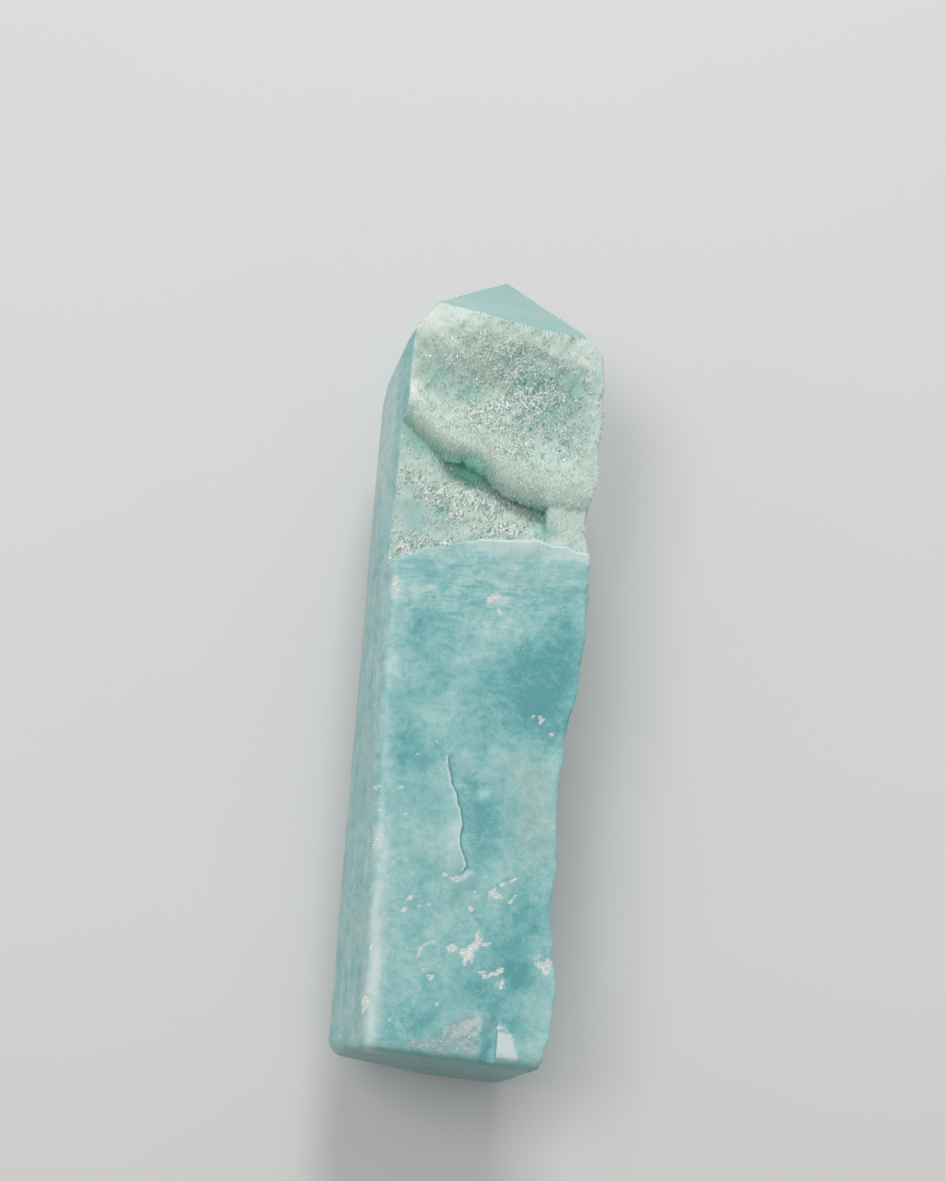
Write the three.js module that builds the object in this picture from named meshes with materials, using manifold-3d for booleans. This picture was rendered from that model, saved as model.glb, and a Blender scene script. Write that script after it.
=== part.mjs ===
// Aragonite point: one ground and polished stone that still carries a patch of its natural
// crystal crust. Millimetres. It lies on its back facet: +Y is the tip, +Z is up, +X its right.
import * as THREE from 'three';
import { mergeVertices } from 'three/addons/utils/BufferGeometryUtils.js';
import Module from 'manifold-3d';

const wasm = await Module();
wasm.setup();

// Driving sizes.
const length = 100;
const thickness = 22;
const halfLength = length / 2;
const roughBlock = 130;
const apex = { x: 0.3, y: halfLength, z: thickness / 2 };

// The long facets, going round from the front. Each one passes through (x, z) at mid-length and
// faces `turn` degrees round from +X towards +Z. `lean` degrees in towards the tip; a lean below
// zero narrows the stone towards its base. `bevel` is how much is ground off at its base end.
const longFacets = [
  { x: 0, z: thickness, turn: 90, lean: 0, bevel: 0.4 },
  { x: -10.6, z: thickness, turn: 158, lean: -2, bevel: 0.9 },
  { x: -13.8, z: 9.5, turn: 173, lean: -0.4, bevel: 1.5 },
  { x: -3.5, z: 0, turn: 227, lean: 0, bevel: 0.9 },
  { x: 2, z: 0, turn: 270, lean: 0, bevel: 0.9 },
  { x: 13.3, z: thickness, turn: 346, lean: -0.5, bevel: 1.1 },
];
// The base end isn't square: it is ground up to the left and to the back.
const baseCut = { turn: 217, lean: -86.7, x: 12.5, y: -50.2, z: thickness };
const baseBevelLean = -38;
// The facets of the tip all meet at the apex. `lean` is measured from the long axis.
const tipFacets = [
  { turn: 78, lean: 49 },
  { turn: 190, lean: 39 },
  { turn: 240, lean: 43 },
  { turn: 300, lean: 43 },
  { turn: 355, lean: 42 },
];
const edgeSoftening = 0.45;
// Extra flats near the tip: the rounded right shoulder, the broken left one, and a second
// grinding of the left facet that trims it from y = 2 upwards.
const shoulders = [
  { turn: 20, lean: 14, x: 12.6, y: 37.6, z: 21 },
  { turn: 40, lean: 34, x: 12.2, y: 38.2, z: 21 },
  { turn: 163, lean: 34, x: -9.2, y: 40.6, z: 21.3 },
  { turn: 158, lean: 0.5, x: -10.45, y: 28, z: 22 },
];

// The natural bed: crust left unground on the front, from a ragged step up to the tip.
// Each line is given as [x, y] points across the stone, left to right.
const stepLine = [[-16, 8.4], [-10.5, 8.8], [-7, 10.2], [-2.2, 11.8], [5.5, 12.8], [8.5, 12.5], [16, 11]];
const lipLine = [[-16, 31], [-10.6, 26.8], [-6, 23], [-2, 22], [1.5, 19.2], [5.2, 17.7], [16, 17.2]];
const crestLine = [[-16, 34], [-10.4, 30], [-6.5, 26], [-2, 24.4], [3.7, 21.8], [7, 20.9], [16, 21.2]];
const bedEnd = 44;
const bed = {
  crest: 21.85,           // height of the rolled ridge
  lip: 20,                // height of its lower lip
  tuck: 0.9,              // how far the floor runs in under the lip
  floorAtLip: 18.7,       // floor height below the lip
  floorAtStep: 20.5,
  hollow: { x: -2, y: 21.4, reachX: 4.5, reachY: 3, depth: 1.1 },
  corner: { x: 6, y: 16.4, reachX: 2.6, reachY: 2.4, depth: 0.7 },
  bowlDepth: 1.45,        // the bed sags between the ridge and the tip
  bowlMargins: { left: -11.5, right: 12.6, width: 4.5 },
  bowl: { x: -1, y: 32, reachX: 6, reachY: 4, depth: 0.5 },
  nook: { x: 5.4, y: 30.5, reachX: 3.2, reachY: 5, depth: 0.5 },
  rim: 21.7,              // height where the bed runs out under the tip facet
  rimY: 39.5,
  wall: { x: 7.3, width: 0.3, top: 21.2 },
  leftRim: { from: 2.5, to: 11.4, height: 21.6 },   // the floor climbs to the left edge
  grain: 0.13,
};
const bedGrid = { halfWidth: 15.5, columns: 40, floorRows: 12, ridgeRows: 4, bowlRows: 20, top: 28 };

// The right side is a natural, gently waved surface: hollows as [y, z, reach along, reach up, depth].
const rightHollows = [
  [-16, 17, 15, 16, 1.8],
  [-24, 17, 7, 14, 0.5],
  [-32, 17, 9, 14, 1.5],
  [-52, 18, 8, 14, 1.3],
  [15.5, 19, 6, 9, 0.8],
  [-3, 5, 20, 8, 0.8],
  [31, 4, 12, 8, 0.7],
];
const rightWave = 0.18;
const rightGrid = { rows: 12, columns: 48, outer: 20 };

// A flake has lifted off the polished front along a curved crack: deepest at the crack line.
const flakeLine = [
  [-2, -14.5], [-1.8, -15.9], [-1.3, -17.4], [-0.6, -19.1], [0.2, -21.8],
  [0.3, -22.9], [0.2, -24.2], [0.4, -25.3], [1.1, -27.2], [0.6, -28],
];
const flakeReturn = [
  [-0.6, -28.7], [-1.9, -28.3], [-0.6, -29.4], [2, -29], [4.4, -26], [3.4, -20], [-0.6, -15.6],
];
const flakeTilt = 6;
const flakeDepth = 0.42;
// A groove runs in from the base end beside a pale block.
const groove = [[4.5, -52], [4.5, -45.2], [5.9, -44.9], [6.1, -52]];
const grooveDepth = 0.55;
// Pits and chips in the polished front, as [x, y, reach across, reach along].
const pits = [
  [1.6, -37, 1.4, 0.8], [-0.2, -37, 0.5, 0.4], [3.3, -35.6, 0.7, 0.4], [5.7, -39.2, 0.8, 0.5],
  [6.4, -40.8, 0.4, 0.8], [6.9, -28.4, 0.4, 0.5], [4.9, -30.1, 0.7, 0.5], [-5.5, -32, 0.4, 0.8],
  [-3.4, -37, 0.5, 0.4], [0.3, -32, 0.5, 0.4], [2.2, -31, 0.4, 0.6], [1.3, 5.2, 0.6, 0.7],
  [-4, -44.5, 1.6, 0.9], [2.6, -46.5, 1.2, 0.8],
];
const pitDepth = 0.35;
// Chips off the long edges and the broken left shoulder, as [x, y, z, size].
const edgeChips = [
  [-9.4, 40.6, 21.6, 0.8], [-8, 42.6, 21.4, 0.7], [-10.8, 39, 20.8, 0.7],
  [-9.6, -44.6, 22.2, 0.8], [11.9, -37.8, 22.2, 0.9], [11.8, -28.6, 22.2, 0.6],
  [13.6, 11.6, 22.1, 0.9], [8, -50.2, 21.6, 0.7], [-10.6, 6.4, 22.1, 0.5], [-12, -50, 14, 1],
];
// Small crystals standing on the crust.
const crystals = { count: 170, sides: 6, radius: 0.62, height: 0.6, sunk: 0.4, tilt: 1.1, seed: 7 };

const stone = new THREE.MeshStandardMaterial({ color: 0x8fc9c6, roughness: 0.35, metalness: 0 });

// ---- helpers ----

function solid(geometry) {
  geometry.deleteAttribute('normal');
  geometry.deleteAttribute('uv');
  const merged = mergeVertices(geometry, 1e-4);
  return new wasm.Manifold(new wasm.Mesh({
    numProp: 3,
    vertProperties: new Float32Array(merged.attributes.position.array),
    triVerts: new Uint32Array(merged.index.array),
  }));
}

function facing(turn, lean) {
  const t = THREE.MathUtils.degToRad(turn);
  const l = THREE.MathUtils.degToRad(lean);
  return new THREE.Vector3(Math.cos(t) * Math.cos(l), Math.sin(l), Math.sin(t) * Math.cos(l));
}

// Grinds away everything beyond the flat through `point` that faces `normal`.
function grind(body, point, normal) {
  const waste = new THREE.BoxGeometry(2 * roughBlock, 2 * roughBlock, roughBlock);
  waste.translate(0, 0, roughBlock / 2);
  waste.applyQuaternion(new THREE.Quaternion().setFromUnitVectors(new THREE.Vector3(0, 0, 1), normal));
  waste.translate(point.x, point.y, point.z);
  return body.subtract(solid(waste));
}

// A smooth y for any x on a line of [x, y] points.
function lineAt(points, x) {
  const last = points.length - 1;
  let i = 0;
  while (i < last - 1 && x > points[i + 1][0]) {
    i += 1;
  }
  const [x0, y0] = points[i];
  const [x1, y1] = points[i + 1];
  const before = points[Math.max(i - 1, 0)];
  const after = points[Math.min(i + 2, last)];
  const t = THREE.MathUtils.clamp((x - x0) / (x1 - x0), 0, 1);
  const slope0 = (y1 - before[1]) / (x1 - before[0]) * (x1 - x0);
  const slope1 = (after[1] - y0) / (after[0] - x0) * (x1 - x0);
  const t2 = t * t;
  const t3 = t2 * t;
  return (2 * t3 - 3 * t2 + 1) * y0 + (t3 - 2 * t2 + t) * slope0
    + (3 * t2 - 2 * t3) * y1 + (t3 - t2) * slope1;
}

// 1 at the middle of an oval dip, falling smoothly to 0 at its edge.
function dip(x, y, hollow) {
  const reach = Math.hypot((x - hollow.x) / hollow.reachX, (y - hollow.y) / hollow.reachY);
  return reach < 1 ? (1 - reach * reach) ** 2 : 0;
}

// Repeatable small lumps, about -1 to 1.
function lumps(x, y) {
  return 0.5 * Math.sin(1.5 * x + 1.3 * Math.sin(1.2 * y)) * Math.cos(1.4 * y - 0.6 * x)
    + 0.3 * Math.sin(2.7 * x - 2 * y + 1) + 0.2 * Math.sin(3.1 * y + 2.2 * x);
}

function randomFrom(seed) {
  let state = seed;
  return () => {
    state = (state * 16807) % 2147483647;
    return state / 2147483647;
  };
}

// ---- the natural bed ----

function floorHeight(x, y) {
  const { wall } = bed;
  const stepY = lineAt(stepLine, x);
  const up = THREE.MathUtils.clamp((y - stepY) / (lineAt(lipLine, x) - stepY), 0, 1);
  const slope = THREE.MathUtils.lerp(bed.floorAtStep, bed.floorAtLip, up ** 1.5);
  const dips = bed.hollow.depth * dip(x, y, bed.hollow) + bed.corner.depth * dip(x, y, bed.corner);
  const atRim = THREE.MathUtils.smoothstep(-x, bed.leftRim.from, bed.leftRim.to);
  const floor = THREE.MathUtils.lerp(slope - dips, bed.leftRim.height, atRim) + bed.grain * lumps(x, y);
  const beside = THREE.MathUtils.smoothstep(x, wall.x - wall.width / 2, wall.x + wall.width / 2);
  return THREE.MathUtils.lerp(floor, wall.top + bed.grain * lumps(x, y) / 2, beside);
}

function bowlHeight(x, y) {
  const crestY = lineAt(crestLine, x);
  const up = THREE.MathUtils.clamp((y - crestY) / (bed.rimY - crestY), 0, 1);
  const run = THREE.MathUtils.lerp(bed.crest, bed.rim, up);
  const { left, right, width } = bed.bowlMargins;
  const inside = THREE.MathUtils.smoothstep(x, left, left + width)
    * THREE.MathUtils.smoothstep(-x, -right, -right + width);
  const sag = bed.bowlDepth * Math.sin(Math.PI * up) ** 0.7 * inside;
  const dips = bed.bowl.depth * dip(x, y, bed.bowl) + bed.nook.depth * dip(x, y, bed.nook);
  return run - sag - dips + bed.grain * lumps(x, y);
}

// The bed's section at x, from the foot of the step over the ridge to the tip: [y, z] rows.
function bedSection(x) {
  const step = lineAt(stepLine, x);
  const lip = lineAt(lipLine, x);
  const crest = lineAt(crestLine, x);
  const overhang = 1 - THREE.MathUtils.smoothstep(x, 4, bed.wall.x);
  const rows = [];
  for (let i = 0; i <= bedGrid.floorRows; i += 1) {
    const y = step + (lip + bed.tuck * overhang - step) * i / bedGrid.floorRows;
    rows.push([y, floorHeight(x, y)]);
  }
  const foot = floorHeight(x, lip);
  const lipTop = THREE.MathUtils.lerp(Math.max(foot, bed.lip), bed.lip, overhang);
  for (let i = 0; i <= bedGrid.ridgeRows; i += 1) {
    const part = i / bedGrid.ridgeRows;
    const roll = Math.sin(part * Math.PI / 2);
    const y = THREE.MathUtils.lerp(lip, crest, 0.05 + 0.95 * part);
    rows.push([y, THREE.MathUtils.lerp(lipTop, bowlHeight(x, crest), roll)]);
  }
  for (let i = 1; i <= bedGrid.bowlRows; i += 1) {
    const y = crest + (bedEnd - crest) * i / bedGrid.bowlRows;
    rows.push([y, bowlHeight(x, y)]);
  }
  return rows;
}

// A block over the bed, its underside shaped by the bed's section in every column.
function bedWaste() {
  const { halfWidth, columns, floorRows, ridgeRows, bowlRows, top } = bedGrid;
  const rowCount = floorRows + ridgeRows + bowlRows + 1;
  const waste = new THREE.BoxGeometry(2 * halfWidth, 1, 2, columns, rowCount, 1);
  const position = waste.attributes.position;
  for (let i = 0; i < position.count; i += 1) {
    const x = position.getX(i);
    const row = Math.round((position.getY(i) + 0.5) * rowCount);
    const [y, z] = bedSection(x)[row];
    position.setY(i, y);
    position.setZ(i, position.getZ(i) > 0 ? top : z);
  }
  return solid(waste);
}

// ---- the waved right side ----

function rightDepth(y, z) {
  let depth = rightWave * (1 + lumps(y / 3, z / 2));
  for (const [hy, hz, along, up, deep] of rightHollows) {
    depth += deep * dip(y, z, { x: hy, y: hz, reachX: along, reachY: up });
  }
  return depth;
}

function rightWaste() {
  const { rows, columns, outer } = rightGrid;
  const facet = longFacets[longFacets.length - 1];
  const undercut = Math.tan(THREE.MathUtils.degToRad(360 - facet.turn));
  const flare = Math.tan(THREE.MathUtils.degToRad(-facet.lean));
  const waste = new THREE.BoxGeometry(2, length + 4, thickness + 4, 1, columns, rows);
  waste.translate(0, 0, thickness / 2);
  const position = waste.attributes.position;
  for (let i = 0; i < position.count; i += 1) {
    const y = position.getY(i);
    const z = position.getZ(i);
    const flat = facet.x + y * flare - (thickness - z) * undercut;
    position.setX(i, position.getX(i) > 0 ? outer : flat - rightDepth(y, z));
  }
  return solid(waste);
}

// ---- marks on the polished front ----

// Sinks an outline into the front: `depth` deep at x = 0, and shallower to the right by `tilt`.
function cutOutline(body, points, depth, tilt) {
  const outline = new THREE.Shape(points.map(([x, y]) => new THREE.Vector2(x, y)));
  const tool = new THREE.ExtrudeGeometry(outline, { depth: 5, bevelEnabled: false });
  tool.rotateY(THREE.MathUtils.degToRad(-tilt));
  tool.translate(0, 0, thickness - depth);
  return body.subtract(solid(tool));
}

function cutPit(body, [x, y, across, along]) {
  const tool = new THREE.IcosahedronGeometry(1, 0);
  tool.rotateZ(x + y);
  tool.scale(across, along, pitDepth * 2);
  tool.translate(x, y, thickness + pitDepth * 0.8);
  return body.subtract(solid(tool));
}

function chipEdge(body, [x, y, z, size]) {
  const tool = new THREE.IcosahedronGeometry(size, 0);
  tool.rotateX(x * 2);
  tool.rotateY(y);
  tool.translate(x, y, z);
  return body.subtract(solid(tool));
}

// ---- crystals on the crust ----

function growCrystals(body) {
  const random = randomFrom(crystals.seed);
  const grown = [body];
  for (let i = 0; i < crystals.count; i += 1) {
    const x = THREE.MathUtils.lerp(-10.6, 12, random());
    const low = lineAt(stepLine, x) + 0.8;
    const y = THREE.MathUtils.lerp(low, 38.5, random());
    const onFloor = y < lineAt(lipLine, x);
    const z = onFloor ? floorHeight(x, y) : bowlHeight(x, Math.max(y, lineAt(crestLine, x)));
    const size = 0.7 + 0.6 * random();
    const height = crystals.height * size + crystals.sunk;
    const needle = new THREE.ConeGeometry(crystals.radius * size, height, crystals.sides);
    needle.translate(0, height / 2 - crystals.sunk, 0);
    needle.rotateX(Math.PI / 2 + crystals.tilt * (random() - 0.5));
    needle.rotateY(crystals.tilt * (random() - 0.5));
    needle.translate(x, y, Math.min(z, thickness - crystals.height * size - 0.05));
    const nearLip = Math.abs(y - lineAt(lipLine, x)) < 0.9;
    if (!nearLip) {
      grown.push(solid(needle));
    }
  }
  return wasm.Manifold.union(grown);
}

// ---- the stone ----

// A small flat taken off the edge between two neighbouring long facets.
function softenEdge(body, first, second) {
  const a = facing(first.turn, 0);
  const b = facing(second.turn, 0);
  const reachA = a.x * first.x + a.z * first.z;
  const reachB = b.x * second.x + b.z * second.z;
  const det = a.x * b.z - a.z * b.x;
  const cornerX = (reachA * b.z - reachB * a.z) / det;
  const cornerZ = (reachB * a.x - reachA * b.x) / det;
  const corner = new THREE.Vector3(cornerX, 0, cornerZ);
  const out = facing(first.turn, first.lean).add(facing(second.turn, second.lean)).normalize();
  corner.addScaledVector(out, -edgeSoftening * Math.min(1, 2 - 2 * a.dot(b)));
  return grind(body, corner, out);
}

// How far along the stone its base end lies at x, z.
function baseAt(x, z) {
  const out = facing(baseCut.turn, baseCut.lean);
  const y = baseCut.y - ((x - baseCut.x) * out.x + (z - baseCut.z) * out.z) / out.y;
  return Math.max(y, -halfLength);
}

function groundStone() {
  let body = solid(new THREE.BoxGeometry(roughBlock, length, roughBlock));
  for (const facet of longFacets) {
    body = grind(body, { x: facet.x, y: 0, z: facet.z }, facing(facet.turn, facet.lean));
  }
  longFacets.forEach((facet, i) => {
    body = softenEdge(body, facet, longFacets[(i + 1) % longFacets.length]);
  });
  for (const facet of tipFacets) {
    body = grind(body, apex, facing(facet.turn, facet.lean));
  }
  body = grind(body, baseCut, facing(baseCut.turn, baseCut.lean));
  for (const facet of longFacets) {
    const flat = facing(facet.turn, 0);
    const x = facet.x - flat.x * facet.bevel;
    const z = facet.z - flat.z * facet.bevel;
    body = grind(body, { x, y: baseAt(x, z), z }, facing(facet.turn, baseBevelLean));
  }
  for (const flat of shoulders) {
    body = grind(body, flat, facing(flat.turn, flat.lean));
  }
  return body;
}

function buildStone() {
  let body = groundStone();
  body = body.subtract(rightWaste());
  body = body.subtract(bedWaste());
  body = cutOutline(body, [...flakeLine, ...flakeReturn], flakeDepth, flakeTilt);
  body = cutOutline(body, groove, grooveDepth, 0);
  body = pits.reduce(cutPit, body);
  body = edgeChips.reduce(chipEdge, body);
  return growCrystals(body);
}

function toMesh(body, name, material) {
  const { vertProperties, triVerts } = body.getMesh();
  const geometry = new THREE.BufferGeometry();
  geometry.setAttribute('position', new THREE.BufferAttribute(vertProperties, 3));
  geometry.setIndex(new THREE.BufferAttribute(triVerts, 1));
  geometry.computeBoundingBox();
  const { min, max } = geometry.boundingBox;
  const mesh = new THREE.Mesh(geometry, material);
  mesh.name = name;
  mesh.position.set(-(min.x + max.x) / 2, -(min.y + max.y) / 2, -min.z);
  return mesh;
}

const point = new THREE.Group();
point.add(toMesh(buildStone(), 'aragonite_point', stone));

export default point;
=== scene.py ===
# Aragonite point: a polished stone tower with a patch of natural crystal crust, lying on its back.
import math
import bpy
import numpy as np
from mathutils import Matrix, Vector


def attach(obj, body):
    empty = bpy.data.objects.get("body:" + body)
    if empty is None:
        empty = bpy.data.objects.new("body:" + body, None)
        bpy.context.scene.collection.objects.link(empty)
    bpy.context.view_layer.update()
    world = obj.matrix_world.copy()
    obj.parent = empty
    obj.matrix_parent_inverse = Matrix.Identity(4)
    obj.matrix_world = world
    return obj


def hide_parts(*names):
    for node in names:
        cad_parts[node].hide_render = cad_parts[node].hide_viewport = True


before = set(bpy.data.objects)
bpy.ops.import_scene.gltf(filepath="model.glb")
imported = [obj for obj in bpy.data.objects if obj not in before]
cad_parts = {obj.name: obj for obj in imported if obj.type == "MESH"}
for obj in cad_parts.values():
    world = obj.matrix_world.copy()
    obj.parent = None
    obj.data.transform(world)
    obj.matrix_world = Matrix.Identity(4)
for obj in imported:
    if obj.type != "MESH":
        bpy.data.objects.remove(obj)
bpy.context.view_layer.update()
mm = 0.001

# Sizes of the stone in mm, close to the CAD solid's. +Y is the tip, +Z up, +X its right.
stoneForm = {
    "length": 100,
    "thickness": 22,
    "frameShift": 0.26,    # from the stone's own x to the frame's
    "apex": (0.3, 50, 11),
    # each long facet: x and z at mid-length, turn from +X to +Z, lean in to the tip, edge rounding
    "longFacets": [
        (0, 22, 90, 0, 0.8),
        (-10.6, 22, 158, -2, 0.8),
        (-13.8, 9.5, 173, -0.4, 1.2),
        (-3.5, 0, 227, 0, 1.2),
        (2, 0, 270, 0, 1.0),
    ],
    "rightFacet": (13.1, 22, 346, -0.5, 0.45),
    # each tip facet: turn, and lean from the long axis
    "tipFacets": [(78, 49), (190, 39), (240, 43), (300, 43), (355, 42)],
    "tipRounding": 0.16,
    # more flats near the tip: turn, lean, x, y, z, edge rounding
    "shoulders": [
        (20, 14, 12.6, 37.6, 21, 0.8),
        (40, 34, 12.2, 38.2, 21, 0.8),
        (158, 0.5, -10.45, 28, 22, 0.4),
    ],
    "brokenShoulder": (163, 34, -9.2, 40.6, 21.3),
    # the base end isn't square: turn, lean, x, y, z
    "baseCut": (217, -86.7, 12.5, -50.2, 22),
    "baseBevels": [0.4, 0.9, 1.5, 0.9, 0.9, 1.1],    # ground off each long facet and the right one
    "baseBevelLean": -38,
    "baseRounding": 0.6,
    # hollows in the natural right side: y, z, reach along, reach up, depth
    "rightHollows": [
        (-16, 17, 15, 16, 1.8),
        (-24, 17, 7, 14, 0.5),
        (-32, 17, 9, 14, 1.5),
        (-52, 18, 8, 14, 1.3),
        (15.5, 19, 6, 9, 0.8),
        (-3, 5, 20, 8, 0.8),
        (31, 4, 12, 8, 0.7),
    ],
    # nicks along its upper edge, in the same way
    "rightNicks": [
        (-47.6, 22, 0.9, 1.6, 0.35), (-42.2, 22, 0.6, 1.2, 0.3), (-37.2, 22, 1.1, 2, 0.45),
        (-33.8, 22, 0.5, 1.1, 0.25), (-28.9, 22, 1.2, 1.6, 0.3), (-25.3, 22, 0.5, 1.5, 0.3),
        (-19.4, 22, 0.8, 1.4, 0.3), (-12.3, 22, 0.6, 1.2, 0.25), (-8.8, 22, 0.9, 1.4, 0.3),
        (-2.2, 22, 0.5, 1.1, 0.25), (1.6, 22, 0.8, 1.3, 0.25), (6.9, 22, 0.7, 1.2, 0.3),
        (9.6, 22, 0.6, 1.7, 0.5), (14.2, 21, 0.9, 1.8, 0.4), (20, 21, 0.8, 1.8, 0.3),
        (25.6, 21, 1, 1.6, 0.35), (30.4, 21, 0.7, 1.4, 0.3), (35.2, 21, 0.9, 1.6, 0.3),
    ],
    "rightWave": 0.18,
    "polishWave": 0.06,    # how far the hand polish wanders from a true flat
    "grainRise": 0.06,     # how far grains may stand above the front
    "leftEdge": (-10.6, -0.0377),    # x of the front's left edge at mid-length, and its slope
}

# The unground bed near the tip, as lines of x, y points across the stone.
bedForm = {
    "stepLine": [(-16, 8.4), (-10.5, 8.8), (-7, 10.2), (-2.2, 11.8), (5.5, 12.8), (8.5, 12.5), (16, 11)],
    "lipLine": [(-16, 31), (-10.6, 26.8), (-6, 23), (-2, 22), (1.5, 19.2), (5.2, 17.7), (16, 17.2)],
    "crestLine": [(-16, 34), (-10.4, 30), (-6.5, 26), (-2, 24.4), (3.7, 21.8), (7, 20.9), (16, 21.2)],
    "crest": 21.85,
    "lip": 20.4,
    "tuck": 0.4,
    "floorAtLip": 18.7,
    "floorAtStep": 20.5,
    "floorDips": [(-2, 21.4, 4.5, 3, 1.1), (6, 16.4, 2.6, 2.4, 0.7), (-5.1, 15.8, 1, 0.8, 0.5)],
    "leftRim": (2.5, 11, 21.85),         # the floor climbs between these to the left edge
    "bowlDepth": 1.45,
    "bowlSides": (-11.5, 12.6, 4.5),      # left edge, right edge, width of the slope
    "bowlDips": [(-1, 32, 6, 4, 0.5), (5.4, 30.5, 3.2, 5, 0.5)],
    "rim": 21.7,
    "rimY": 39.5,
    "wallX": 7.3,
    "wallWidth": 0.4,
    "wallTop": 21.2,
    "grain": 0.13,
    "lumpy": 0.15,
    "fibrous": 0.1,
    "raggedStep": 0.4,
    "raggedLip": 0.42,
    # strength of the painted shade above the lip
    "lipShade": 0.08,
    "brokenCorner": (-7, 41, 4.5, 1.8, 1),    # the crust breaks into the tip's facet here
}

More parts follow.
